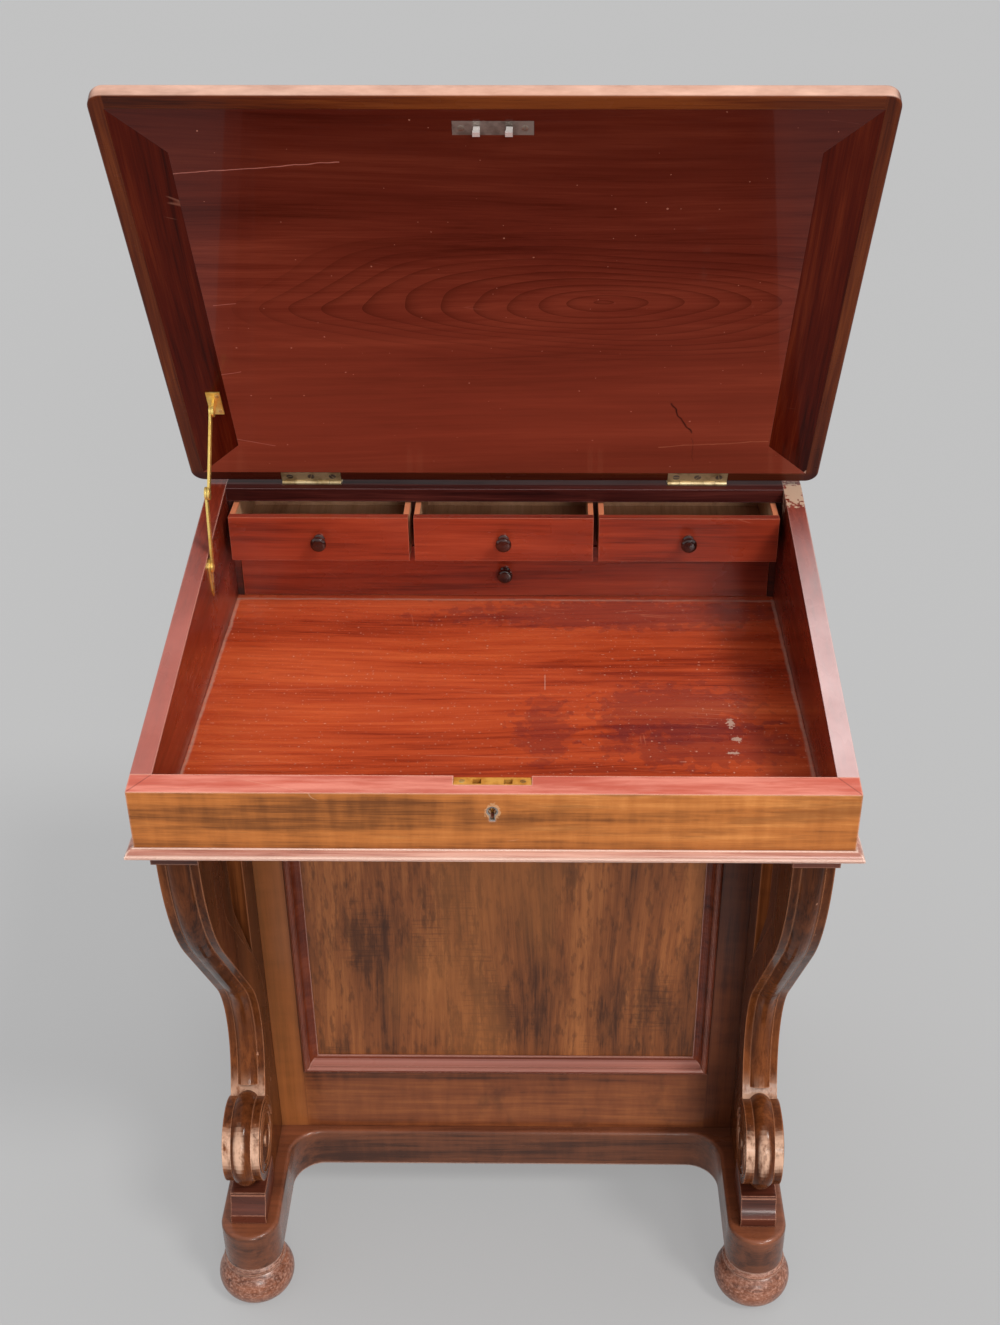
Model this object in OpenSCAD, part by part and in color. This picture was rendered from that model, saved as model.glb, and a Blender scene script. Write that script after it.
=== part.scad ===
// Davenport desk: a small sloping writing box on a pedestal of side drawers,
// with two scroll legs in front on a stepped-back plinth with bun feet.
// The lid is propped open and three small drawers stand pulled out in the well.
// X runs across the desk, the sitter is at -Y, and the floor is Z = 0.

/* [Writing box] */
// Width of the box over its sides
case_w = 560; // [500:1:620]
// Depth of the box from its front face to its back
case_d = 560; // [540:1:620]
// Height of the front board, from the underside of the box
front_board_h = 60; // [55:1:75]
// Angle of the writing slope
slope = 8.9; // [7:0.1:10]
// Front face to the front arris of the hinge rail
slope_d = 411; // [405:1:420]
// Thickness of the two sides
side_t = 17; // [14:0.5:18]
// Thickness of the front board
front_t = 20; // [18:0.5:24]
// Thickness of the back board
back_t = 14; // [10:0.5:16]
// Thickness of the floor of the well
floor_t = 8; // [7:0.5:9]
// Thickness of the fixed top and the hinge rail
top_t = 14; // [12:0.5:15]
// Width of the hinge rail, front to back
rail_w = 25; // [24:0.5:30]
// Projection of the base moulding
base_moulding_out = 7; // [4:0.5:9]
// Height of the base moulding
base_moulding_h = 8; // [6:0.5:8]

/* [Lid] */
// Overhang of the closed lid past the front of the box
lid_over_front = 13.2; // [8:0.2:16]
// Overhang of the lid past each side of the box
lid_over = 14.5; // [10:0.5:18]
// Thickness of the lid
lid_t = 15; // [13:0.5:18]
// Angle at which the stay holds the lid, above the horizontal
lid_open = 62.6; // [55:0.1:66]
// Width of the moulded edge strip
lid_strip = 12; // [10:0.5:14]
// Width of the cross-grain clamps at the ends
lid_clamp_w = 39; // [30:1:45]
// Radius of the rounded upper arris of the lid
lid_edge_r = 6; // [3:0.5:8]

/* [Hinges and stay] */
// Middle of each hinge, in from the side of the box
hinge_inset = 98; // [80:1:130]
// Length of a hinge
hinge_len = 56; // [46:1:64]
// Width of a hinge leaf
leaf_w = 11.5; // [9.5:0.5:12]
// Thickness of a hinge leaf
leaf_t = 1.6; // [1.2:0.1:2]
// Diameter of the hinge barrel
barrel_d = 5.2; // [4.6:0.1:5.4]
// Diameter of the hinge pin
pin_d = 2.6; // [2:0.1:3]
// Distance of the stay's lid pivot from the hinge axis
stay_lid_u = 112; // [108:1:116]
// Depth of the stay's lid pivot below the lid
stay_lid_drop = 10; // [9:0.5:12]
// Distance of the stay's wall pivot in front of the hinge rail
stay_wall_out = 105; // [103:0.5:107]
// Depth of the stay's wall pivot below the slope
stay_wall_drop = 12; // [11:0.5:14]
// Length of the stay's lower arm between centres
stay_lower_l = 67.6; // [67:0.1:69]
// Width of a stay arm
stay_w = 6.5; // [5:0.5:8]
// Thickness of a stay arm
stay_t = 2; // [1.6:0.1:2]

/* [Lock] */
// Length of the lock's selvedge
lock_l = 60; // [50:1:70]
// Height of the lock case
lock_h = 34; // [30:1:38]
// Depth of the lock case
lock_d = 10; // [9:0.5:11]
// Distance between the two hooks of the striker
hook_gap = 24; // [20:0.5:28]
// Travel of the lock's bolt
bolt_travel = 5; // [3:0.5:6]

/* [Drawer bank in the well] */
// Front of the bank behind the front arris of the hinge rail
bank_setback = 7; // [7:1:14]
// How far the small drawers stand pulled out
drawer_pull = 42; // [0:1:60]
// Space behind the drawers in the bank
bank_back_gap = 6; // [4:1:20]
// Height of the long drawer at the bottom
long_drawer_h = 53; // [48:0.5:56]
// Thickness of the shelf over the long drawer
shelf_t = 5; // [4:0.5:6]
// Thickness of the partitions between the small drawers
partition_t = 4; // [3:0.5:6]
// Thickness of the fillers beside the drawers
filler_t = 6; // [6:0.5:8]
// Thickness of the drawer fronts in the bank
bank_front_t = 8; // [7:0.5:10]
// Thickness of the drawer sides in the bank
bank_side_t = 5; // [3:0.5:6]
// Diameter of the knobs in the bank
bank_knob_d = 15; // [12:0.5:18]

/* [Pedestal] */
// Height of the pedestal
pedestal_h = 525; // [500:1:560]
// How far each side of the pedestal stands in from the side of the box
pedestal_side = 42; // [35:1:60]
// Front of the pedestal behind the front face of the box
pedestal_y = 224; // [215:1:230]
// How far the back of the pedestal lies in front of the back of the box
pedestal_inset = 7; // [0:1:12]
// Thickness of the framed front
frame_t = 20; // [18:0.5:24]
// Width of the stiles of the framed front
stile_w = 28.5; // [24:0.5:50]
// Height of the top rail of the framed front
top_rail_h = 64; // [40:1:80]
// Height of the bottom rail of the framed front
bottom_rail_h = 78; // [50:1:90]
// Thickness of the front and back panels
panel_t = 7; // [6:0.5:8]
// Width of the moulding round the front panel
panel_moulding_w = 15.5; // [12:0.5:20]
// Thickness of the pedestal's side and back boards
board_t = 16; // [14:0.5:18]

/* [Side drawers] */
// Number of drawers in the pedestal
side_drawers = 4; // [4]
// Height of the rails between the side drawers
side_rail_h = 12; // [10:0.5:14]
// Height of the rails above and below the side drawers
end_rail_h = 16; // [14:0.5:20]
// Each drawer is this much deeper than the one above it
drawer_step = 9; // [0:0.5:12]
// Width of the posts beside the drawers
post_w = 24; // [20:0.5:30]
// Thickness of the posts and rails
post_t = 20; // [18:0.5:22]
// Thickness of a side drawer's front
side_front_t = 18; // [16:0.5:20]
// Thickness of a side drawer's sides
side_wall_t = 8; // [7:0.5:10]
// Thickness of the dummy drawer fronts
dummy_t = 6; // [5:0.5:8]
// Diameter of the knobs on the side drawers
side_knob_d = 28; // [22:0.5:32]
// Distance of the knobs from the ends of a side drawer
side_knob_inset = 50; // [35:1:70]

/* [Plinth and feet] */
// Height of the bun feet
foot_h = 52; // [44:1:60]
// Largest diameter of the bun feet
foot_d = 76; // [66:1:80]
// Thickness of the plinth
plinth_t = 47; // [40:1:54]
// Width of the plinth's arms
arm_w = 58; // [54:1:62]
// Front end of the arms behind the front face of the box
arm_y = 70; // [64:1:76]
// How far the plinth stands in front of the pedestal
plinth_lip = 9; // [6:0.5:12]
// Radius of the inner corners between the rail and the arms
inner_corner_r = 32; // [20:1:40]
// Radius of the plinth's rounded upper arris
plinth_edge_r = 4; // [2:0.5:5]

/* [Legs] */
// Thickness of a leg
leg_t = 34; // [32:0.5:36]
// Thickness of the web behind the scroll
web_t = 28; // [22:0.5:30]
// Diameter of the volute at the foot of the leg
volute_d = 94; // [88:1:98]
// Height of the step block under the volute
step_h = 32; // [26:1:34]
// Height of the cap block above the leg
cap_h = 18; // [14:1:24]
// How far the bead stands out from the front of the leg
bead_out = 5.5; // [4:0.5:7]

/* [Hidden] */
$fn = 48;

walnut = "#8a5a33";
mahogany = "#7c3a22";
red_mahogany = "#9c3f22";
pale_wood = "#a9784f";
dark_wood = "#2c1812";
brass = "#c9a24a";
steel = "#9a9c9e";

// Clearances
fit = 0.3;
slide_gap = 0.5;
spigot_gap = 0.1;

// Main heights
plinth_z = foot_h;
plinth_top = foot_h + plinth_t;
base_z = plinth_top + pedestal_h;
function slope_z(y) = base_z + front_board_h + y * tan(slope);
rail_lip = 7.5;
top_z = slope_z(slope_d + rail_lip);
bank_top = top_z - top_t;
rail_back = slope_d + rail_w;
inner_x = case_w / 2 - side_t;
well_z = base_z + floor_t;
back_y = case_d - back_t;
bank_y = slope_d + bank_setback;
bank_drawer_l = back_y - bank_y - bank_back_gap;
pedestal_w = case_w - 2 * pedestal_side;

// Hinge axis, just behind the lid's hinged edge
hinge_back = 10;
edge_gap = 3;
lid_gap = 0.4;
hinge_y = slope_d + hinge_back;
hinge_z = slope_z(hinge_y) + lid_gap / cos(slope);
hinge_x = case_w / 2 - hinge_inset;
lid_front = (hinge_y + lid_over_front) / cos(slope);
lid_l = lid_front - edge_gap;
lid_hw = case_w / 2 + lid_over;
lid_travel = lid_open + slope;

// Places the lid's own frame: -Y runs up the lid from the hinge, +Z is its outer face
module lid_frame(angle = lid_open) {
    translate([0, hinge_y, hinge_z]) rotate([-angle, 0, 0]) children();
}

// Puts the origin under the middle of the desk
module desk_frame() {
    translate([0, -case_d / 2, 0]) children();
}

// A square-edged board between two corners
module board(from, to) {
    translate(from) cube(to - from);
}

// An outline of [y, z] points carried along X
module along_x(x0, x1, outline) {
    translate([x0, 0, 0]) rotate([90, 0, 90]) linear_extrude(x1 - x0) polygon(outline);
}

// A hole or a rod along X
module rod_x(x0, x1, d) {
    translate([x0, 0, 0]) rotate([0, 90, 0]) cylinder(d = d, h = x1 - x0);
}

// Both sides of the desk
module both_sides() {
    for (s = [0, 1]) mirror([s, 0, 0]) children();
}

// A solid whose skin joins closed rings of points, the last ring to the first
module ring_sweep(rings) {
    m = len(rings);
    n = len(rings[0]);
    points = [for (ring = rings, p = ring) p];
    faces = [for (i = [0:m - 1], j = [0:n - 1], half = [0, 1])
        let (next = (i + 1) % m, a = i * n + j, b = i * n + (j + 1) % n, c = next * n + (j + 1) % n, e = next * n + j)
            half == 0 ? [a, b, c] : [a, c, e]];
    polyhedron(points, faces, 10);
}

// A moulding mitred round a rectangle; its section is a list of [inset, height]
function mitred_ring(w, d, p) = [for (q = [[1, 1], [-1, 1], [-1, -1], [1, -1]])
    [q[0] * (w / 2 - p[0]), q[1] * (d / 2 - p[0]), p[1]]];
module mitred_moulding(w, d, section) {
    ring_sweep([for (p = section) mitred_ring(w, d, p)]);
}

// Writing box

module box_side() {
    along_x(inner_x, case_w / 2, [[front_t, base_z], [case_d, base_z], [case_d, bank_top],
        [rail_back, bank_top], [rail_back, top_z], [slope_d + rail_lip, top_z], [front_t, slope_z(front_t)]]);
}
module side_left() {
    color(walnut) mirror([1, 0, 0]) box_side();
}
module side_right() {
    color(walnut) box_side();
}

// The lock sits in the inner face of the front board, a little left of the middle
lock_x = -1;
selvedge_t = 1.6;
lock_y0 = front_t - lock_d;
lock_top = slope_z(lock_y0) - 0.1;
keyhole_z = lock_top - 18;
liner_d = 9;
module keyhole(d, drop, y0, y1) {
    translate([lock_x, y0, keyhole_z]) rotate([-90, 0, 0]) cylinder(d = d, h = y1 - y0);
    board([lock_x - d / 4, y0, keyhole_z - drop], [lock_x + d / 4, y1, keyhole_z]);
}
module front_board() {
    color(walnut) difference() {
        along_x(-case_w / 2, case_w / 2, [[0, base_z], [front_t, base_z], [front_t, slope_z(front_t)],
            [0, slope_z(0)]]);
        board([lock_x - lock_l / 2 - 0.1, lock_y0 - 0.1, lock_top - selvedge_t - 0.1],
            [lock_x + lock_l / 2 + 0.1, front_t + 1, top_z]);
        board([lock_x - lock_l / 2 + 4.9, lock_y0 - 0.1, lock_top - lock_h - 0.1],
            [lock_x + lock_l / 2 - 4.9, front_t + 1, lock_top]);
        keyhole(liner_d + 0.2, liner_d + 0.1, -1, 3.1);
        keyhole(5, 8, -1, front_t);
    }
}
module keyhole_liner() {
    color(brass) difference() {
        keyhole(liner_d, liner_d, 0, 3);
        keyhole(liner_d - 2.4, liner_d - 1.2, -1, 4);
    }
}

bolt_h = 7;
bolt_z = lock_top - selvedge_t - 5 - bolt_h;
bolt_t = 3;
hook_w = 5;
hook_t = 4;
lock_cavity_y0 = lock_y0 + 2;
lock_cavity_y1 = front_t - 1.2;
bolt_y = lock_cavity_y0 + 0.5;
bolt_l = hook_gap + 14;
module hook_places() {
    for (s = [-1, 1]) translate([lock_x + s * hook_gap / 2, 0, 0]) children();
}
module box_lock() {
    color(brass) difference() {
        union() {
            board([lock_x - lock_l / 2, lock_y0, lock_top - selvedge_t],
                [lock_x + lock_l / 2, front_t, lock_top]);
            board([lock_x - lock_l / 2 + 5, lock_y0, lock_top - lock_h],
                [lock_x + lock_l / 2 - 5, front_t, lock_top]);
        }
        board([lock_x - bolt_l / 2 - bolt_travel - 1, lock_cavity_y0, bolt_z - 0.3],
            [lock_x + bolt_l / 2 + bolt_travel + 1, lock_cavity_y1, lock_top - selvedge_t]);
        hook_places() board([-hook_w / 2 - 0.8, lock_y0 + 1.5, lock_top - 3],
            [hook_w / 2 + 0.8, front_t - 1.5, top_z]);
        translate([lock_x, lock_y0 - 1, keyhole_z]) rotate([-90, 0, 0]) cylinder(d = 5, h = 6);
    }
}
module lock_bolt() {
    color(steel) {
        board([lock_x - bolt_l / 2, bolt_y, bolt_z],
            [lock_x + bolt_l / 2, bolt_y + 1.5, bolt_z + bolt_h - 3]);
        for (s = [-1, 1])
            board([lock_x + s * hook_gap / 2 - hook_w / 2 - 4, bolt_y, bolt_z],
                [lock_x + s * hook_gap / 2 - hook_w / 2 - 1, bolt_y + bolt_t, bolt_z + bolt_h]);
    }
}

module back_board() {
    color(walnut) board([-inner_x, back_y, base_z], [inner_x, case_d, bank_top]);
}
module well_floor() {
    color(red_mahogany) board([-inner_x, front_t, base_z], [inner_x, back_y, well_z]);
}

// Groove in the hinge rail for the barrels, and seats for the fixed leaves
groove_r = barrel_d / 2 + 0.5;
leaf_back = hinge_y + edge_gap + leaf_w;
module hinge_places() {
    for (s = [-1, 1]) translate([s * hinge_x, 0, 0]) children();
}
module hinge_rail() {
    color(mahogany) difference() {
        along_x(-inner_x, inner_x, [[slope_d, bank_top], [rail_back, bank_top], [rail_back, top_z],
            [slope_d + rail_lip, top_z], [slope_d, slope_z(slope_d)]]);
        hinge_places() {
            translate([0, hinge_y, hinge_z]) rod_x(-hinge_len / 2 - fit, hinge_len / 2 + fit, 2 * groove_r);
            board([-hinge_len / 2 - fit, hinge_y, top_z - leaf_t - 0.1],
                [hinge_len / 2 + fit, leaf_back + 0.1, top_z + 1]);
        }
    }
}
module top_board() {
    color(walnut) board([-case_w / 2, rail_back, bank_top], [case_w / 2, case_d, top_z]);
}

// Fillet, ovolo and fillet, planted round the foot of the box
module base_moulding() {
    o = base_moulding_out;
    h = base_moulding_h;
    section = concat([[0, 0], [-o + 1, 0], [-o, 1], [-o, h * 0.35], [-o + 1, h * 0.45]],
        [for (i = [0:5]) [-o + 1 + (o - 2.5) * (1 - cos(18 * i)), h * 0.45 + (h * 0.5) * sin(18 * i)]],
        [[-1.2, h], [0, h]]);
    color(mahogany) translate([0, case_d / 2, base_z]) mitred_moulding(case_w, case_d, section);
}

// Drawer bank

small_w = (2 * (inner_x - filler_t) - 2 * partition_t) / 3;
shelf_z = well_z + long_drawer_h + slide_gap;
small_z = shelf_z + shelf_t + fit;
small_h = bank_top - slide_gap - small_z;
module drawer_bank() {
    color(mahogany) {
        both_sides() {
            board([inner_x - filler_t, bank_y, well_z], [inner_x, back_y, bank_top]);
            board([small_w / 2, bank_y + 2, shelf_z], [small_w / 2 + partition_t, back_y, bank_top]);
        }
        board([-inner_x + filler_t, bank_y + 2, shelf_z], [inner_x - filler_t, back_y, shelf_z + shelf_t]);
    }
}

// A turned knob on the plane Z = 0 with its spigot below, by its diameter
knob_profile = [[0.30, 0], [0.36, 0.03], [0.36, 0.12], [0.24, 0.20], [0.20, 0.32], [0.27, 0.45],
    [0.42, 0.55]];
module knob(d, spigot_l) {
    crown = [for (i = [0:6]) let (a = -40 + 130 * i / 6) d * [0.30 + 0.20 * cos(a), 0.72 + 0.20 * sin(a)]];
    spigot_r = d * 0.2;
    rotate_extrude() polygon(concat([[0, -spigot_l], [spigot_r, -spigot_l], [spigot_r, 0]],
        [for (p = knob_profile) d * p], crown, [[0, d * 0.94]]));
}
module knob_bore(d, depth) {
    translate([0, 0, -depth]) cylinder(d = d * 0.4 + 2 * spigot_gap, h = depth + 1);
}

// A drawer in the bank: its front face on the plane y, running back from there
spigot_l = 5;
module bank_front(w, h, y, z) {
    difference() {
        board([-w / 2, y, z], [w / 2, y + bank_front_t, z + h]);
        translate([0, y, z + h / 2]) rotate([90, 0, 0]) knob_bore(bank_knob_d, spigot_l + 0.2);
    }
}
module bank_box(w, h, y, z, low) {
    y0 = y + bank_front_t;
    y1 = y + bank_drawer_l;
    bottom_t = 3;
    difference() {
        board([-w / 2, y0, z], [w / 2, y1, z + h - low]);
        board([-w / 2 + bank_side_t, y0 - 1, z + bottom_t],
            [w / 2 - bank_side_t, y1 - bank_side_t, z + h + 1]);
    }
}
module bank_knob(h, y, z) {
    color(dark_wood) translate([0, y, z + h / 2]) rotate([90, 0, 0]) knob(bank_knob_d, spigot_l);
}
small_y = bank_y - drawer_pull;
small_step = small_w + partition_t;
drawer_side_gap = 0.5;
small_drawer_w = small_w - 2 * drawer_side_gap;
small_top_low = 1;
module small_front(i) {
    color(red_mahogany) translate([i * small_step, 0, 0])
        bank_front(small_drawer_w, small_h, small_y, small_z);
}
module small_box(i) {
    color(pale_wood) translate([i * small_step, 0, 0])
        bank_box(small_drawer_w, small_h, small_y, small_z, small_top_low);
}
module small_knob(i) {
    translate([i * small_step, 0, 0]) bank_knob(small_h, small_y, small_z);
}
long_drawer_w = 2 * (inner_x - filler_t) - 2 * drawer_side_gap;
long_z = well_z + fit;
long_h = long_drawer_h - fit;
module long_drawer_front() {
    color(red_mahogany) bank_front(long_drawer_w, long_h, bank_y, long_z);
}
module long_drawer_box() {
    color(pale_wood) bank_box(long_drawer_w, long_h, bank_y, long_z, small_top_low);
}
module long_drawer_knob() {
    bank_knob(long_h, bank_y, long_z);
}

// Lid, in its own frame

core_hw = lid_hw - lid_strip;
core_back = -(edge_gap + lid_strip);
core_front = -(lid_front - lid_strip);
// The clamps' inner corners, with a mitre at each end
clamp_x = core_hw - lid_clamp_w;
clamp_back = core_back - lid_clamp_w;
clamp_front = core_front + lid_clamp_w;
module lid_leaf_seats() {
    hinge_places() board([-hinge_len / 2 - 0.1, -(edge_gap + leaf_w + 0.1), -1],
        [hinge_len / 2 + 0.1, 0, leaf_t + 0.1]);
}
module lid_core_outline() {
    polygon([[-core_hw, core_front], [core_hw, core_front], [clamp_x, clamp_front], [clamp_x, clamp_back],
        [core_hw, core_back], [-core_hw, core_back], [-clamp_x, clamp_back], [-clamp_x, clamp_front]]);
}
module lid_panel() {
    color(red_mahogany) lid_frame() difference() {
        linear_extrude(lid_t) lid_core_outline();
        lid_leaf_seats();
        striker_plate(0.1);
    }
}
module lid_clamps() {
    color(mahogany) lid_frame() both_sides() linear_extrude(lid_t)
        polygon([[core_hw, core_front], [core_hw, core_back], [clamp_x, clamp_back], [clamp_x, clamp_front]]);
}
// Section of the edge strip: X runs in from the outer edge, Y up to the outer face
module lid_section() {
    under_r = 2;
    translate([lid_edge_r, lid_t - lid_edge_r]) circle(lid_edge_r);
    translate([under_r, under_r]) circle(under_r);
    translate([0, under_r]) square([lid_strip, lid_t - lid_edge_r - under_r]);
    translate([under_r, 0]) square([lid_strip - under_r, lid_edge_r]);
    translate([lid_edge_r, lid_t / 2]) square([lid_strip - lid_edge_r, lid_t / 2]);
}
module lid_run(length) {
    rotate([90, 0, 0]) translate([0, 0, -length / 2]) linear_extrude(length) lid_section();
}
module lid_edge() {
    middle = -(edge_gap + lid_l / 2);
    run_x = 2 * core_hw;
    run_y = lid_l - 2 * lid_strip;
    color(walnut) lid_frame() difference() {
        translate([0, middle, 0]) {
            for (s = [0, 1]) mirror([s, 0, 0]) {
                translate([-lid_hw, 0, 0]) lid_run(run_y);
                for (t = [0, 1]) mirror([0, t, 0]) translate([core_hw, run_y / 2, 0])
                    rotate_extrude(angle = 90) translate([lid_strip, 0]) mirror([1, 0]) lid_section();
            }
            for (t = [0, 1]) mirror([0, t, 0])
                translate([0, -lid_l / 2, 0]) rotate([0, 0, 90]) lid_run(run_x);
        }
        lid_leaf_seats();
    }
}

// Butt hinges: five knuckles, the outer and middle ones on the fixed leaf
knuckle = hinge_len / 5;
knuckle_gap = 0.15;
function knuckle_x(i) = -hinge_len / 2 + i * knuckle + knuckle_gap;
module knuckles(which, y, z) {
    for (i = which) translate([0, y, z]) rod_x(knuckle_x(i), knuckle_x(i + 1) - 2 * knuckle_gap, barrel_d);
}
module pin_bores(y, z) {
    translate([0, y, z]) rod_x(-hinge_len / 2 - 1, hinge_len / 2 + 1, pin_d + 2 * spigot_gap);
}
module hinge_fixed_leaves() {
    color(brass) hinge_places() difference() {
        union() {
            board([-hinge_len / 2, hinge_y + edge_gap, top_z - leaf_t], [hinge_len / 2, leaf_back, top_z]);
            knuckles([0, 2, 4], hinge_y, hinge_z);
            for (i = [0, 2, 4]) board([knuckle_x(i), hinge_y + pin_d / 2 + fit, top_z - leaf_t],
                [knuckle_x(i + 1) - 2 * knuckle_gap, hinge_y + edge_gap + 0.5, top_z]);
        }
        pin_bores(hinge_y, hinge_z);
    }
}
module hinge_pins() {
    color(steel) hinge_places() translate([0, hinge_y, hinge_z]) rod_x(-hinge_len / 2, hinge_len / 2, pin_d);
}
module hinge_lid_leaves() {
    color(brass) lid_frame() hinge_places() difference() {
        union() {
            board([-hinge_len / 2, -(edge_gap + leaf_w), 0], [hinge_len / 2, -edge_gap, leaf_t]);
            knuckles([1, 3], 0, 0);
            for (i = [1, 3]) board([knuckle_x(i), -edge_gap - 0.5, 0],
                [knuckle_x(i + 1) - 2 * knuckle_gap, -pin_d / 2 - fit, leaf_t]);
        }
        pin_bores(0, 0);
    }
}

// Striker plate, let in flush under the lid, with two hooks that drop into the lock
striker_u = (hinge_y - lock_y0 - lock_d / 2) / cos(slope);
striker_l = 60;
striker_w = 12.5;
striker_t = 1.5;
hook_l = 7;
module striker_plate(grow = 0) {
    translate([lock_x, -striker_u, 0])
        board([-striker_l / 2 - grow, -striker_w / 2 - grow, -2 * grow],
            [striker_l / 2 + grow, striker_w / 2 + grow, striker_t + grow]);
}
module lid_striker() {
    color(steel) lid_frame() {
        striker_plate();
        translate([0, -striker_u, 0]) hook_places() {
            board([-hook_w / 2, -hook_t / 2, -hook_l], [hook_w / 2, hook_t / 2, striker_t / 2]);
            board([-hook_w / 2 - 0.5, -hook_t / 2, -hook_l], [hook_w / 2, hook_t / 2, 2 - hook_l]);
        }
    }
}

// Stay: two arms side by side between the left wall and the drawers.
// Angles are measured in the Y-Z plane from +Y towards +Z.

plate_t = 1.2;
lower_x = -inner_x + plate_t + fit;
upper_x = lower_x + stay_t + fit;
lug_x = upper_x + stay_t + 0.2;
lug_t = 2;
stay_pin_d = 3.6;
stay_wall_y = slope_d - stay_wall_out;
wall_pivot = [stay_wall_y, slope_z(stay_wall_y) - stay_wall_drop];
function lid_point(u, drop, angle) = [hinge_y - u * cos(angle) - drop * sin(angle),
    hinge_z + u * sin(angle) - drop * cos(angle)];
pin_open = lid_point(stay_lid_u, stay_lid_drop, lid_open);
pin_shut = lid_point(stay_lid_u, stay_lid_drop, -slope);
elbow_shut = wall_pivot - stay_lower_l * [cos(slope), sin(slope)];
stay_upper_l = norm(elbow_shut - pin_shut);
stay_reach = norm(pin_open - wall_pivot);
reach_angle = atan2(pin_open[1] - wall_pivot[1], pin_open[0] - wall_pivot[0]);
lower_bend = acos((stay_lower_l ^ 2 + stay_reach ^ 2 - stay_upper_l ^ 2) / (2 * stay_lower_l * stay_reach));
lower_angle = reach_angle + lower_bend;
elbow_open = wall_pivot + stay_lower_l * [cos(lower_angle), sin(lower_angle)];
upper_angle = atan2(elbow_open[1] - pin_open[1], elbow_open[0] - pin_open[0]);

// Says what the linkage turns through as the lid closes
upper_shut = atan2(elbow_shut[1] - pin_shut[1], elbow_shut[0] - pin_shut[0]);
echo(lid_travel = lid_travel, lower_turn = 180 + slope - lower_angle,
    upper_turn = upper_angle - upper_shut + lid_travel, wall_pivot = wall_pivot, pin_open = pin_open,
    hinge = [hinge_y, hinge_z], elbow = elbow_open);

module stay_arm(l, x, pin_gap) {
    eye_d = stay_w + 3.5;
    difference() {
        union() {
            along_x(x, x + stay_t, [[0, -stay_w / 2], [l, -stay_w / 2], [l, stay_w / 2], [0, stay_w / 2]]);
            rod_x(x, x + stay_t, eye_d);
            translate([0, l, 0]) rod_x(x, x + stay_t, eye_d + 1.5);
        }
        rod_x(x - 1, x + stay_t + 1, stay_pin_d + 2 * pin_gap);
    }
}
module stay_lower_arm() {
    color(brass) translate([0, wall_pivot[0], wall_pivot[1]]) rotate([lower_angle, 0, 0])
        stay_arm(stay_lower_l, lower_x, 0.15);
}
module stay_upper_arm() {
    color(brass) translate([0, pin_open[0], pin_open[1]]) rotate([upper_angle, 0, 0])
        stay_arm(stay_upper_l, upper_x, 0.15);
}
module stay_wall_plate() {
    x = -inner_x;
    color(brass) {
        translate([0, wall_pivot[0], wall_pivot[1]]) {
            rod_x(x, x + plate_t, 16);
            rod_x(x, lower_x + stay_t - 0.1, stay_pin_d);
        }
        along_x(x, x + plate_t, [[wall_pivot[0] - 8, wall_pivot[1]], [wall_pivot[0] - 4, wall_pivot[1] - 24],
            [wall_pivot[0], wall_pivot[1] - 30], [wall_pivot[0] + 4, wall_pivot[1] - 24],
            [wall_pivot[0] + 8, wall_pivot[1]]]);
    }
}
module stay_lid_bracket() {
    plate_x0 = -inner_x + 1.5;
    color(brass) lid_frame() {
        board([plate_x0, -stay_lid_u - 14, -1.4], [lug_x + 8, -stay_lid_u + 14, 0]);
        board([lug_x, -stay_lid_u - 5, -stay_lid_drop], [lug_x + lug_t, -stay_lid_u + 5, -1]);
        translate([0, -stay_lid_u, -stay_lid_drop]) {
            rod_x(lug_x, lug_x + lug_t, 10);
            rod_x(upper_x - 0.1, lug_x + lug_t, stay_pin_d);
        }
    }
}

// Pedestal

ped_x = pedestal_w / 2;
ped_back = case_d - pedestal_inset;
ped_in_y0 = pedestal_y + frame_t;
ped_in_y1 = ped_back - board_t;
panel_lap = 6;
panel_y = pedestal_y + 10;
panel_x = ped_x - stile_w;
panel_z0 = plinth_top + bottom_rail_h;
panel_z1 = base_z - top_rail_h;
module front_frame() {
    color(walnut) difference() {
        board([-ped_x, pedestal_y, plinth_top], [ped_x, ped_in_y0, base_z]);
        board([-panel_x, pedestal_y - 1, panel_z0], [panel_x, ped_in_y0 + 1, panel_z1]);
        board([-panel_x - panel_lap - 0.1, panel_y - 0.1, panel_z0 - panel_lap - 0.1],
            [panel_x + panel_lap + 0.1, panel_y + panel_t + 0.1, panel_z1 + panel_lap + 0.1]);
    }
}
module front_panel() {
    color(walnut) board([-panel_x - panel_lap, panel_y, panel_z0 - panel_lap],
        [panel_x + panel_lap, panel_y + panel_t, panel_z1 + panel_lap]);
}
// The moulding stands a little proud of the frame: bead, hollow and fillet
module front_panel_moulding() {
    w = panel_moulding_w;
    deep = panel_y - pedestal_y;
    proud = 3;
    bead_r = w * 0.22;
    section = concat([[0.1, 0], [w, 0], [w, 1.5], [w - 1.5, 2]],
        [for (i = [1:5]) [w - 1.5 - (w * 0.5) * sin(15 * i), 2 + (deep - 2) * (1 - cos(15 * i)) * 1.1]],
        [for (i = [0:7]) [0.1 + bead_r + bead_r * cos(-10 + 190 * i / 7),
            deep + proud - bead_r + bead_r * sin(-10 + 190 * i / 7)]]);
    color(mahogany) translate([0, panel_y, (panel_z0 + panel_z1) / 2]) rotate([90, 0, 0])
        mitred_moulding(2 * panel_x, panel_z1 - panel_z0, section);
}

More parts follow.
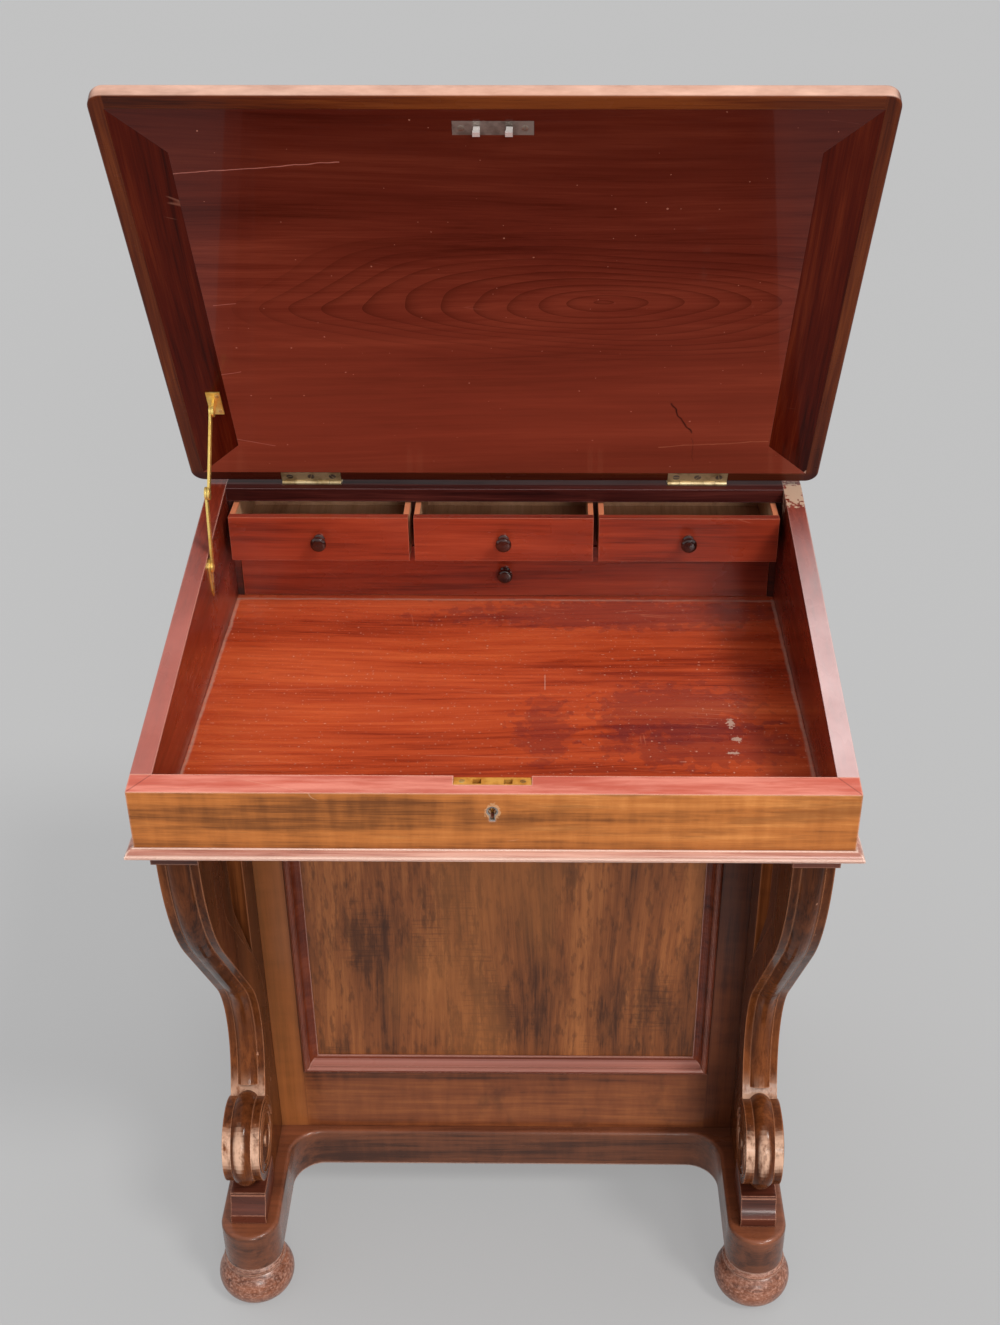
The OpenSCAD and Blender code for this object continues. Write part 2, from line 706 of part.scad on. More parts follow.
// Heights of the side drawers, from the top down
drawers_h = pedestal_h - 2 * end_rail_h - (side_drawers - 1) * side_rail_h;
top_drawer_h = (drawers_h - drawer_step * side_drawers * (side_drawers - 1) / 2) / side_drawers;
function side_h(i) = top_drawer_h + drawer_step * i;
function side_top(i) = base_z - end_rail_h - i * (side_rail_h + top_drawer_h)
    - drawer_step * i * (i - 1) / 2;
side_y0 = ped_in_y0 + post_w;
side_y1 = ped_in_y1 - post_w;

module left_side_board() {
    color(walnut) difference() {
        board([-ped_x, ped_in_y0, plinth_top], [-ped_x + board_t, ped_in_y1, base_z]);
        for (i = [0:side_drawers - 1])
            board([-ped_x - 1, side_y0, side_top(i) - side_h(i)], [-ped_x + dummy_t, side_y1, side_top(i)]);
    }
}
module drawer_frame() {
    color(walnut) difference() {
        board([ped_x - post_t, ped_in_y0, plinth_top], [ped_x, ped_in_y1, base_z]);
        for (i = [0:side_drawers - 1])
            board([ped_x - post_t - 1, side_y0, side_top(i) - side_h(i)], [ped_x + 1, side_y1, side_top(i)]);
    }
}
runner_w = 12;
guide_h = 16;
module runner(z, y0, y1) {
    x0 = -ped_x + board_t;
    x1 = ped_x - post_t;
    side = y1 > y0 ? 1 : -1;
    guide_y = y1 - side * runner_w;
    ya = min(y0, y1);
    yb = max(y0, y1);
    board([x0, ya, z - side_rail_h], [x1, yb, z]);
    board([x0, min(y0, guide_y), z - 1], [x1, max(y0, guide_y), z + guide_h]);
}
module drawer_runners() {
    color(pale_wood) for (i = [0:side_drawers - 1]) {
        z = side_top(i) - side_h(i);
        runner(z, ped_in_y0, side_y0 + runner_w);
        runner(z, ped_in_y1, side_y1 - runner_w);
    }
}
back_stile = 50;
back_panel_y = ped_in_y1 + 4;
// The opening of the back frame, grown by a lap
module back_fill(lap, y0, y1) {
    rim = back_stile - lap;
    board([-ped_x + rim, y0, plinth_top + rim], [ped_x - rim, y1, base_z - rim]);
}
module back_frame() {
    color(walnut) difference() {
        board([-ped_x, ped_in_y1, plinth_top], [ped_x, ped_back, base_z]);
        back_fill(0, ped_in_y1 - 1, ped_back + 1);
        back_fill(panel_lap + 0.1, back_panel_y - 0.1, back_panel_y + panel_t + 0.1);
    }
}
module back_panel() {
    color(walnut) back_fill(panel_lap, back_panel_y, back_panel_y + panel_t);
}
module pedestal_floor() {
    color(pale_wood) board([-ped_x + board_t, side_y0 + runner_w, plinth_top],
        [ped_x - post_t, side_y1 - runner_w, plinth_top + 8]);
}

// The knobs stand in pairs on the real and on the dummy fronts
module side_knob_places(i) {
    for (y = [side_y0 + side_knob_inset, side_y1 - side_knob_inset])
        translate([0, y, side_top(i) - side_h(i) / 2]) children();
}
side_spigot_l = 12;
dummy_spigot_l = dummy_t - 0.5;
dummy_gap = 0.8;
module dummy_fronts() {
    color(walnut) for (i = [0:side_drawers - 1]) difference() {
        board([-ped_x, side_y0 + dummy_gap, side_top(i) - side_h(i) + dummy_gap],
            [-ped_x + dummy_t, side_y1 - dummy_gap, side_top(i) - dummy_gap]);
        side_knob_places(i) translate([-ped_x, 0, 0]) rotate([0, -90, 0])
            knob_bore(side_knob_d, dummy_t - fit);
    }
}
module dummy_knobs() {
    color(dark_wood) for (i = [0:side_drawers - 1]) side_knob_places(i)
        translate([-ped_x, 0, 0]) rotate([0, -90, 0]) knob(side_knob_d, dummy_spigot_l);
}

side_back_x = -ped_x + board_t + 6;
module side_drawer(i) {
    z0 = side_top(i) - side_h(i) + fit;
    z1 = side_top(i) - 0.9;
    y0 = side_y0 + slide_gap;
    y1 = side_y1 - slide_gap;
    bottom_t = 6;
    low = 6;
    color(walnut) difference() {
        board([side_back_x, y0, z0], [ped_x, y1, z1]);
        board([side_back_x + side_wall_t, y0 + side_wall_t, z0 + bottom_t],
            [ped_x - side_front_t, y1 - side_wall_t, z1 + 1]);
        board([side_back_x - 1, y0 - 1, z1 - low], [ped_x - side_front_t, y1 + 1, z1 + 1]);
        side_knob_places(i) translate([ped_x, 0, 0]) rotate([0, 90, 0])
            knob_bore(side_knob_d, side_spigot_l + fit);
    }
}
module side_drawer_knobs(i) {
    color(dark_wood) side_knob_places(i) translate([ped_x, 0, 0]) rotate([0, 90, 0])
        knob(side_knob_d, side_spigot_l);
}

// Legs: drawn for the right side, on the outer side of the pedestal.
// The scroll's front is two arcs and the straight that touches both; heights scale with the leg.

leg_out = 15.5;
leg_x = ped_x + leg_out;
leg_top = base_z - cap_h;
leg_back = ped_in_y0;
cap_y = 12;
cap_l = 84;
cap_back = cap_y + cap_l;
cap_side = 2;
step_setback = 20;
step_y = arm_y + step_setback;
step_l = 60;
step_back = step_y + step_l;
step_side = 0.5;
step_top = plinth_top + step_h;
volute_over = 7;
volute_r = volute_d / 2;
volute_z = step_top + volute_r + fit;
volute_y = step_y + volute_r - volute_over;
scroll_t = 30;
// The leg is two arcs, brow and waist, with a straight part that runs back 3 for each 4 that it falls
straight_run = 0.6;
straight_fall = 0.8;
leg_lean = atan2(straight_run, straight_fall);
brow_r = 225;
brow_setback = 8;
brow = [cap_y + brow_setback + brow_r, leg_top];
waist_r = 115;
waist_rise = 105;
waist_z = volute_z + waist_rise;
straight_l = (leg_top - waist_z - straight_run * (brow_r + waist_r)) / straight_fall;
straight_start = brow - brow_r * [straight_fall, straight_run];
waist = [straight_start[0] + straight_run * straight_l - waist_r * straight_fall, waist_z];
tail_angle = -48;
function arc(c, r, a0, a1, n) = [for (i = [0:n]) let (a = a0 + (a1 - a0) * i / n) c + r * [cos(a), sin(a)]];
bead_d = leg_t * 0.66;

// Turns a drawing of the side view, with Y across and Z up, to stand in its place
module side_view(x = 0) {
    translate([x, 0, 0]) rotate([90, 0, 90]) children();
}
// Section of the scroll: X runs back from its front face, Y across; the bead stands in front
bead_root = 3;
bead_sink = bead_d / 2 - bead_out;
bead_half = acos(bead_sink / (bead_d / 2));
function bead_round(proud = 0) = arc([bead_sink, 0], bead_d / 2 + proud, 180 - bead_half, 180 + bead_half, 9);
module scroll_section(proud = 0) {
    half = leg_t / 2 + proud;
    back = scroll_t + proud;
    polygon(concat([[-proud, -half], [back, -half], [back, half], [-proud, half]], bead_round(proud)));
}
module bead_section() {
    half = bead_d / 2 * sin(bead_half);
    polygon(concat([[bead_root, half]], bead_round(), [[bead_root, -half]]));
}
// The bead ends a little short of the volute, where the front face meets a circle round it
bead_end_gap = 6;
bead_end_r = volute_r + bead_end_gap;
to_volute = [volute_y, volute_z] - waist;
bead_end = atan2(to_volute[1], to_volute[0])
    + acos((waist_r ^ 2 + norm(to_volute) ^ 2 - bead_end_r ^ 2) / (2 * waist_r * norm(to_volute)));
module waist_sweep(from) {
    translate(waist) rotate([0, 0, from]) rotate_extrude(angle = leg_lean - from, $fn = 96)
        translate([waist_r, 0]) children();
}
// The straight part laps over both arcs and stands a hair proud of them, so that they join cleanly
straight_lap = 3;
straight_proud = 0.05;
module scroll() {
    side_view() {
        translate(brow) rotate([0, 0, 180]) rotate_extrude(angle = leg_lean, $fn = 160)
            translate([brow_r, 0]) mirror([1, 0]) scroll_section();
        translate(straight_start) rotate([0, 0, leg_lean]) translate([0, straight_lap, 0]) rotate([90, 0, 0])
            linear_extrude(straight_l + 2 * straight_lap) scroll_section(straight_proud);
        waist_sweep(bead_end) bead_section();
        waist_sweep(tail_angle) translate([0, -leg_t / 2]) square([scroll_t, leg_t]);
    }
}

// The scroll thickens behind the brow, up to the cap block
scroll_top_l = 72;
scroll_back = cap_y + scroll_top_l;
nape_r = 60;
straight_back = straight_start + scroll_t * [cos(leg_lean), sin(leg_lean)];
nape_z = straight_back[1] + nape_r * sin(leg_lean)
    - (scroll_back + nape_r * (1 - cos(leg_lean)) - straight_back[0]) / tan(leg_lean);
shoulder_l = 40;
shoulder_outline = concat([[scroll_back - shoulder_l, leg_top], [scroll_back, leg_top]],
    arc([scroll_back + nape_r, nape_z], nape_r, 180, 180 + leg_lean, 10),
    arc(brow, brow_r - scroll_t / 2, 180 + leg_lean, 180 + leg_lean / 2, 4));

// Web behind the scroll, with a tear-shaped opening
web_heel = [14, 10];
web_outline = concat([[cap_back, leg_top], [cap_back, base_z], [leg_back, base_z], [leg_back, plinth_top],
    [step_back, plinth_top], [step_back, step_top], [volute_y, step_top] + web_heel],
    arc(waist, waist_r + scroll_t / 2, tail_angle, leg_lean, 16),
    arc(brow, brow_r - scroll_t / 2, 180 + leg_lean, 180 + leg_lean / 2, 4),
    [[scroll_back - shoulder_l / 2, leg_top]]);
tear_front = 26;
tear_behind = 63;
tear_y0 = cap_back + tear_front;
tear_y1 = leg_back - tear_behind;
tear_r = (tear_y1 - tear_y0) / 2;
tear_drop = 44;
tear_l = 73;
tear_top = leg_top - tear_drop;
tear_neck = tear_top - tear_l;
tear_bend_r = 60;
tear_turn = 30;
tear_tip = tear_neck - tear_bend_r * sin(tear_turn)
    - (tear_y1 - tear_y0 - tear_bend_r * (1 - cos(tear_turn))) / tan(tear_turn);
tear_outline = concat(arc([tear_y0 + tear_r, tear_top], tear_r, 0, 180, 24),
    arc([tear_y0 + tear_bend_r, tear_neck], tear_bend_r, 180, 180 + tear_turn, 8), [[tear_y1, tear_tip]]);

// Each side of the volute has a spiral of half circles running in to an eye
volute_side = 1;
spiral_d = 3;
spiral_turns = 4;
module spiral(x) {
    pitch = volute_r * 0.15;
    for (i = [0:spiral_turns - 1]) side_view(x) translate([volute_y - (i % 2) * pitch / 2, volute_z])
        rotate([0, 0, 180 * (i % 2)]) rotate_extrude(angle = 180, $fn = 64)
            translate([volute_r * 0.72 - i * pitch / 2, 0]) circle(d = spiral_d, $fn = 16);
    translate([0, volute_y, volute_z]) rod_x(x - spiral_d / 2, x + spiral_d / 2, volute_r * 0.36);
}
module volute() {
    half = leg_t / 2 + volute_side;
    translate([0, volute_y, volute_z]) rod_x(-half, half, 2 * (volute_r - bead_out), $fn = 96);
    side_view() translate([volute_y, volute_z]) rotate_extrude($fn = 96)
        translate([volute_r - bead_d / 2, 0]) circle(d = bead_d, $fn = 32);
    for (s = [-1, 1]) spiral(s * half);
}
module leg() {
    half = leg_t / 2;
    translate([leg_x, 0, 0]) {
        scroll();
        along_x(-half, half, shoulder_outline);
        difference() {
            along_x(ped_x - leg_x, ped_x - leg_x + web_t, web_outline);
            along_x(-leg_t, leg_t, tear_outline);
        }
        volute();
    }
}
module leg_left() {
    color(walnut) mirror([1, 0, 0]) leg();
}
module leg_right() {
    color(walnut) leg();
}
module leg_cap_blocks() {
    half = leg_t / 2 + cap_side;
    color(mahogany) both_sides() board([leg_x - half, cap_y, leg_top], [leg_x + half, cap_back, base_z]);
}
// A hollow above a square fillet
module leg_step_blocks() {
    half = leg_t / 2 + step_side;
    fillet = 6;
    hollow = step_h - fillet - 2;
    color(mahogany) both_sides() difference() {
        board([leg_x - half, step_y, plinth_top], [leg_x + half, step_back, step_top]);
        translate([0, step_y - 0.6 * hollow, plinth_top + fillet + hollow])
            rod_x(leg_x - half - 1, leg_x + half + 1, 2 * hollow);
        board([leg_x - half - 1, step_y - 1, plinth_top + fillet + hollow - 1],
            [leg_x + half + 1, step_y + 0.4 * hollow + 1, step_top + 1]);
    }
}

// Plinth: a platform with two arms that reach forward under the legs

arm_r = arm_w / 2;
rear_foot_over = 3;
rear_foot_y = case_d - foot_d / 2 + rear_foot_over;
plinth_x = leg_x + arm_r;
plinth_front = pedestal_y - plinth_lip;
// The plan drawn in by an inset, with its hollow inner corners
module plinth_plan(inset) {
    corner = [leg_x - arm_r - inner_corner_r, plinth_front - inner_corner_r];
    for (s = [0, 1]) mirror([s, 0]) {
        translate([leg_x, arm_y + arm_r]) circle(arm_r - inset, $fn = 96);
        translate([leg_x - arm_r + inset, arm_y + arm_r])
            square([arm_w - 2 * inset, case_d - arm_y - arm_r - inset]);
        difference() {
            translate(corner) square(inner_corner_r + inset + 1);
            translate(corner) circle(inner_corner_r + inset, $fn = 96);
        }
    }
    translate([-plinth_x + inset, plinth_front + inset])
        square([2 * (plinth_x - inset), case_d - plinth_front - 2 * inset]);
}
// The slab with its upper arris rounded: a rod bent round the plan drawn in by its radius
module plinth() {
    e = plinth_edge_r;
    corner = [leg_x - arm_r - inner_corner_r, plinth_front - inner_corner_r];
    round_y = arm_y + arm_r;
    color(mahogany) {
        translate([0, 0, plinth_z]) linear_extrude(plinth_t - e) plinth_plan(0);
        translate([0, 0, plinth_top - 2 * e]) linear_extrude(2 * e) plinth_plan(e);
        translate([0, 0, plinth_top - e]) {
            for (s = [0, 1]) mirror([s, 0, 0]) {
                translate([leg_x, round_y, 0]) rotate([0, 0, 180]) rotate_extrude(angle = 180, $fn = 96)
                    translate([arm_r - e, 0]) circle(e);
                translate([leg_x - arm_r + e, round_y, 0]) rotate([-90, 0, 0])
                    cylinder(r = e, h = corner[1] - round_y);
                translate([leg_x + arm_r - e, round_y, 0]) rotate([-90, 0, 0])
                    cylinder(r = e, h = case_d - round_y);
                translate([corner[0], corner[1], 0]) rotate_extrude(angle = 90, $fn = 96)
                    translate([inner_corner_r + e, 0]) circle(e);
            }
            translate([0, plinth_front + e, 0]) rod_x(-corner[0], corner[0], 2 * e);
        }
    }
}

// Bun foot: ring, neck and bun, turned
module bun_foot() {
    ring_r = arm_r + 1.5;
    bun_r = foot_d / 2;
    bun_z = foot_h * 0.44;
    neck_z = foot_h * 0.8;
    rotate_extrude($fn = 64) polygon(concat([[0, 0], [bun_r * 0.66, 0], [bun_r * 0.72, 1]],
        [for (i = [1:14]) let (a = -66 + 126 * i / 14)
            [bun_r * (0.42 + 0.58 * cos(a)), bun_z + (bun_z - 1) * sin(a) * 1.09]],
        [[ring_r - 3.5, neck_z], [ring_r - 3, neck_z + 1], [ring_r, foot_h - 7], [ring_r + 0.8, foot_h - 4.5],
            [ring_r, foot_h - 2], [ring_r - 2, foot_h], [0, foot_h]]));
}
module bun_feet() {
    color(mahogany) both_sides() for (y = [arm_y + arm_r, rear_foot_y])
        translate([leg_x, y, 0]) bun_foot();
}

desk_frame() side_left();
desk_frame() side_right();
desk_frame() front_board();
desk_frame() back_board();
desk_frame() well_floor();
desk_frame() hinge_rail();
desk_frame() top_board();
desk_frame() base_moulding();
desk_frame() drawer_bank();
desk_frame() box_lock();
desk_frame() lock_bolt();
desk_frame() keyhole_liner();
desk_frame() hinge_fixed_leaves();
desk_frame() hinge_pins();
desk_frame() stay_wall_plate();
desk_frame() front_frame();
desk_frame() front_panel();
desk_frame() front_panel_moulding();
desk_frame() left_side_board();
desk_frame() drawer_frame();
desk_frame() drawer_runners();
desk_frame() back_frame();
desk_frame() back_panel();
desk_frame() pedestal_floor();
desk_frame() dummy_fronts();
desk_frame() dummy_knobs();
desk_frame() plinth();
desk_frame() bun_feet();
desk_frame() leg_left();
desk_frame() leg_right();
desk_frame() leg_cap_blocks();
desk_frame() leg_step_blocks();
desk_frame() lid_panel();
desk_frame() lid_clamps();
desk_frame() lid_edge();
desk_frame() hinge_lid_leaves();
desk_frame() lid_striker();
desk_frame() stay_lid_bracket();
desk_frame() stay_lower_arm();
desk_frame() stay_upper_arm();
desk_frame() small_front(-1);  // small_drawer_left_front
desk_frame() small_box(-1);  // small_drawer_left_box
desk_frame() small_knob(-1);  // small_drawer_left_knob
desk_frame() small_front(0);  // small_drawer_middle_front
desk_frame() small_box(0);  // small_drawer_middle_box
desk_frame() small_knob(0);  // small_drawer_middle_knob
desk_frame() small_front(1);  // small_drawer_right_front
desk_frame() small_box(1);  // small_drawer_right_box
desk_frame() small_knob(1);  // small_drawer_right_knob
desk_frame() long_drawer_front();
desk_frame() long_drawer_box();
desk_frame() long_drawer_knob();
desk_frame() side_drawer(0);  // side_drawer_1
desk_frame() side_drawer_knobs(0);  // side_drawer_1_knobs
desk_frame() side_drawer(1);  // side_drawer_2
desk_frame() side_drawer_knobs(1);  // side_drawer_2_knobs
desk_frame() side_drawer(2);  // side_drawer_3
desk_frame() side_drawer_knobs(2);  // side_drawer_3_knobs
desk_frame() side_drawer(3);  // side_drawer_4
desk_frame() side_drawer_knobs(3);  // side_drawer_4_knobs
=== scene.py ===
# %% [markdown]
# # A davenport desk with its lid propped open
# This lesson dresses a small writing desk for a picture. The desk's solids come ready made, each in its
# place, and every finish on them is made here from shader nodes: French-polished mahogany in the writing
# box, golden walnut on the outside, dark turned knobs and worn brass.
# The small things that a joiner adds last, such as screws and pins, are built here as meshes.

# %% Bring in the desk
import math

import bmesh
import bpy
from mathutils import Matrix, Vector


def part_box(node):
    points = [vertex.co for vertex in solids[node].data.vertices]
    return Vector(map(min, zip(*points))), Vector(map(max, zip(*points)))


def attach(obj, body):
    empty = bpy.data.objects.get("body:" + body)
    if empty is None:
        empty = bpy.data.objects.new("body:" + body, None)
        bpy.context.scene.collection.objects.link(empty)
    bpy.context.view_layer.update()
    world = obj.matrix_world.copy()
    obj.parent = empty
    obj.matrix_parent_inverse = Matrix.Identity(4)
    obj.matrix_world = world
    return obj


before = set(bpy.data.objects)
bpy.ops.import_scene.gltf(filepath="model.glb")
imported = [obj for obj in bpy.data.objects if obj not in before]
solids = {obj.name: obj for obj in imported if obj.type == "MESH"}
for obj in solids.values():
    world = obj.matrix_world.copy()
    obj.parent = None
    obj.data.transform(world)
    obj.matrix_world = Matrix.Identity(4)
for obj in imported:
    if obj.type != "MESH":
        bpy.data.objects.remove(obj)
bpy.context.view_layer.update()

# %% [markdown]
# ## The camera
# The photograph was taken from standing height, a little right of the middle, looking down at 34 degrees.
# A camera looks along its own -Z, so its rotation is a matrix whose columns are right, up and backwards.
# The lens follows from the focal length in pixels, and the shift says that the picture was cropped so
# that the point straight ahead of the lens isn't in its middle.

# %% Place the camera
PICTURE_W, PICTURE_H = 1000, 1325
FOCAL_PX = 1669
AHEAD_PX = (526.7, 761.0)
EYE = Vector((0.037, -1.320, 1.404))
YAW, PITCH, ROLL = math.radians(-0.64), math.radians(33.56), math.radians(-0.11)


def camera_turn(yaw, pitch, roll):
    """The rotation of a camera that looks along +Y, turned by yaw, tipped down by pitch and rolled."""
    ahead = Vector((math.sin(yaw) * math.cos(pitch), math.cos(yaw) * math.cos(pitch), -math.sin(pitch)))
    level = Vector((math.cos(yaw), -math.sin(yaw), 0))
    upright = level.cross(ahead)
    right = level * math.cos(roll) + upright * math.sin(roll)
    up = upright * math.cos(roll) - level * math.sin(roll)
    return Matrix((right, up, -ahead)).transposed().to_quaternion()


def add_object(name, data):
    made = bpy.data.objects.new(name, data)
    bpy.context.scene.collection.objects.link(made)
    return made


camera_data = bpy.data.cameras.new("camera")
camera = add_object("camera", camera_data)
bpy.context.scene.camera = camera
bpy.context.scene.view_settings.view_transform = "Standard"
camera.rotation_mode = "QUATERNION"
camera.location = EYE
camera.rotation_quaternion = camera_turn(YAW, PITCH, ROLL)
camera_data.sensor_width = 36
camera_data.lens = FOCAL_PX * camera_data.sensor_width / PICTURE_H
camera_data.shift_x = (PICTURE_W / 2 - AHEAD_PX[0]) / PICTURE_H
camera_data.shift_y = (AHEAD_PX[1] - PICTURE_H / 2) / PICTURE_H
camera_data.clip_start, camera_data.clip_end = 0.05, 200
print("lens %.2f mm, shift %.4f %.4f" % (camera_data.lens, camera_data.shift_x, camera_data.shift_y))

# %% [markdown]
# ## A node bench
# Materials are drawn as graphs of nodes. A few short helpers keep that readable: `put` adds a node and
# feeds its inputs, and the others are names for the sums, mixes and noises that every finish needs.
# They return sockets, so that calls can be nested like a formula.


# %% Helpers that add nodes
def colour(red, green, blue):
    """A screen colour of 0 to 255 as the light values that Blender's sockets hold."""
    parts = [v / 255 for v in (red, green, blue)]
    return tuple(p / 12.92 if p <= 0.04045 else ((p + 0.055) / 1.055) ** 2.4 for p in parts) + (1.0,)


def put(tree, kind, feeds, **settings):
    """Adds a node; feeds maps an input's name or number to a value, or to a socket that drives it."""
    node = tree.nodes.new("ShaderNode" + kind)
    for name, value in settings.items():
        setattr(node, name, value)
    for name, value in feeds.items():
        if isinstance(value, bpy.types.NodeSocket):
            tree.links.new(value, node.inputs[name])
        else:
            node.inputs[name].default_value = value
    return node


def calc(tree, operation, a, b=0.0, c=0.0):
    return put(tree, "Math", {0: a, 1: b, 2: c}, operation=operation).outputs[0]


def times(tree, a, b):
    return calc(tree, "MULTIPLY", a, b)


def flip(tree, mask):
    """Turns a mask round, so that it is 1 where it was 0."""
    return calc(tree, "SUBTRACT", 1.0, mask)


def centred(tree, value):
    """Moves a noise of 0 to 1 to either side of 0."""
    return calc(tree, "SUBTRACT", value, 0.5)


def shift(tree, operation, a, b=(0, 0, 0)):
    return put(tree, "VectorMath", {0: a, 1: b}, operation=operation).outputs[0]


def scaled(tree, vector, by):
    return put(tree, "VectorMath", {0: vector, "Scale": by}, operation="SCALE").outputs[0]


def measure(tree, operation, *vectors):
    """The number that a vector's length or the product of two vectors gives."""
    return put(tree, "VectorMath", dict(enumerate(vectors)), operation=operation).outputs["Value"]


def vector_of(tree, x, y, z):
    return put(tree, "CombineXYZ", {0: x, 1: y, 2: z}).outputs[0]


def rise(tree, value, low, high):
    """0 below low, 1 above high, and a smooth slope between them."""
    feeds = {"Value": value, "From Min": low, "From Max": high}
    return put(tree, "MapRange", feeds, interpolation_type="SMOOTHSTEP").outputs[0]


def fall(tree, value, low, high):
    """1 below low, 0 above high, and a smooth slope between them."""
    return flip(tree, rise(tree, value, low, high))


def span(tree, value, low, high):
    """Turns 0 to 1 into low to high."""
    return put(tree, "MapRange", {"Value": value, "To Min": low, "To Max": high}).outputs[0]


def blend(tree, amount, a, b):
    """Mixes two colours; amount 0 is all a."""
    return put(tree, "Mix", {0: amount, 6: a, 7: b}, data_type="RGBA").outputs[2]


def choose(tree, mask, a, b):
    """The vector a where the mask is 0, and b where it is 1."""
    return put(tree, "Mix", {0: mask, 4: a, 5: b}, data_type="VECTOR").outputs[1]


def noise(tree, vector, stretch, detail=2.0, rough=0.5, out=0):
    """Noise whose lumps number about `stretch` to the metre along each axis; out 1 is its colour."""
    return put(tree, "TexNoise", {"Vector": shift(tree, "MULTIPLY", vector, stretch), "Scale": 1.0,
                                  "Detail": detail, "Roughness": rough}).outputs[out]


def parts_of(tree, vector):
    """The X, Y and Z of a vector."""
    return put(tree, "SeparateXYZ", {0: vector}).outputs


def own_normal(tree):
    """Which way a face looks in the desk's own space, so that masks stay put when a part moves."""
    looks = put(tree, "NewGeometry", {}).outputs["True Normal"]
    return put(tree, "VectorTransform", {0: looks}, vector_type="NORMAL", convert_from="WORLD",
               convert_to="OBJECT").outputs[0]


def effect(name, inputs, outputs):
    """Starts a node group that takes coordinates; returns its tree, its inputs and its outputs."""
    tree = bpy.data.node_groups.new(name, "ShaderNodeTree")
    for title, kind, value in [("Vector", "Vector", (0, 0, 0))] + inputs:
        made = tree.interface.new_socket(name=title, in_out="INPUT", socket_type="NodeSocket" + kind)
        made.default_value = value
    for title, kind in outputs:
        tree.interface.new_socket(name=title, in_out="OUTPUT", socket_type="NodeSocket" + kind)
    return tree, tree.nodes.new("NodeGroupInput").outputs, tree.nodes.new("NodeGroupOutput").inputs


def use(tree, group, feeds):
    """Places a node group in a tree and returns its outputs."""
    return put(tree, "Group", feeds, node_tree=group).outputs


# %% [markdown]
# ## Effect: the grain of a board
# Wood is a bundle of long fibres, so its pattern is noise pulled out along the board: slow drifts of
# colour a hand wide, streaks a few millimetres wide, and pores like pencil ticks. An image would show
# the same board everywhere and would blur close up; noise in three dimensions gives each board its own
# figure, and the pattern turns the corner from face to end as real wood does.
# The Mottle input adds the short cross ripples of a lively veneer.

# %% Node group: grain
grain, into, out = effect(
    "Grain of a board",
    [("Seed", "Float", 0.0), ("Bend", "Float", 0.02), ("Streaks", "Float", 1.0), ("Mottle", "Float", 0.0),
     ("Pale", "Color", (1, 1, 1, 1)), ("Middle", "Color", (0.5, 0.5, 0.5, 1)),
     ("Dark", "Color", (0, 0, 0, 1))],
    [("Color", "Color"), ("Pores", "Float")])
seeded = shift(grain, "ADD", into["Vector"],
               vector_of(grain, *[times(grain, into["Seed"], step) for step in (3.7, 1.3, 2.1)]))
drift = shift(grain, "SUBTRACT", noise(grain, seeded, (1.6, 5, 5), detail=1.0, out=1), (0.5, 0.5, 0.5))
bend = scaled(grain, shift(grain, "MULTIPLY", drift, (0.3, 1, 1)), into["Bend"])
along = shift(grain, "ADD", seeded, bend)
broad = noise(grain, along, (2.2, 20, 20), detail=3.0, rough=0.55)
streak = centred(grain, noise(grain, along, (6, 170, 170), detail=3.0, rough=0.6))
hair = noise(grain, along, (22, 900, 900))
ripple = centred(grain, noise(grain, along, (70, 16, 16), detail=3.0, rough=0.6))
fine = times(grain, centred(grain, hair), into["Streaks"])
tone = calc(grain, "MULTIPLY_ADD", streak, into["Streaks"], calc(grain, "MULTIPLY_ADD", fine, 0.55, broad))
tone = calc(grain, "MULTIPLY_ADD", ripple, into["Mottle"], tone)
low = blend(grain, rise(grain, tone, 0.22, 0.52), into["Dark"], into["Middle"])
grain.links.new(blend(grain, rise(grain, tone, 0.46, 0.80), low, into["Pale"]), out["Color"])
grain.links.new(rise(grain, hair, 0.60, 0.72), out["Pores"])

# %% [markdown]
# ## Effect: oval growth rings
# Where a plank is sawn near the heart, the rings come out as nested ovals, like a cathedral window lying
# on its side. The group measures how far a point is from a centre, in an oval of given length and width,
# bends that with noise, and draws a soft dark line each time a ring is crossed.

# %% Node group: growth rings
rings, into, out = effect(
    "Oval growth rings",
    [("Centre", "Vector", (0, 0, 0)), ("Length", "Float", 0.2), ("Width", "Float", 0.06),
     ("Count", "Float", 7.0), ("Wander", "Float", 0.3)],
    [("Lines", "Float"), ("Inside", "Float")])
from_centre = shift(rings, "SUBTRACT", into["Vector"], into["Centre"])
oval = vector_of(rings, into["Length"], into["Width"], 1.0)
x, y, _ = parts_of(rings, shift(rings, "DIVIDE", from_centre, oval))
far = measure(rings, "LENGTH", vector_of(rings, x, y, 0.0))
wander = centred(rings, noise(rings, into["Vector"], (2.5, 10, 10), detail=1.5))
far = calc(rings, "MULTIPLY_ADD", wander, into["Wander"], far)
saw = calc(rings, "FRACT", times(rings, far, into["Count"]))
inside = fall(rings, far, 0.75, 1.15)
faint = span(rings, noise(rings, into["Vector"], (6, 30, 30)), 0.2, 1.4)
lines = times(rings, calc(rings, "POWER", saw, 4.0), faint)
rings.links.new(times(rings, lines, inside), out["Lines"])
rings.links.new(inside, out["Inside"])
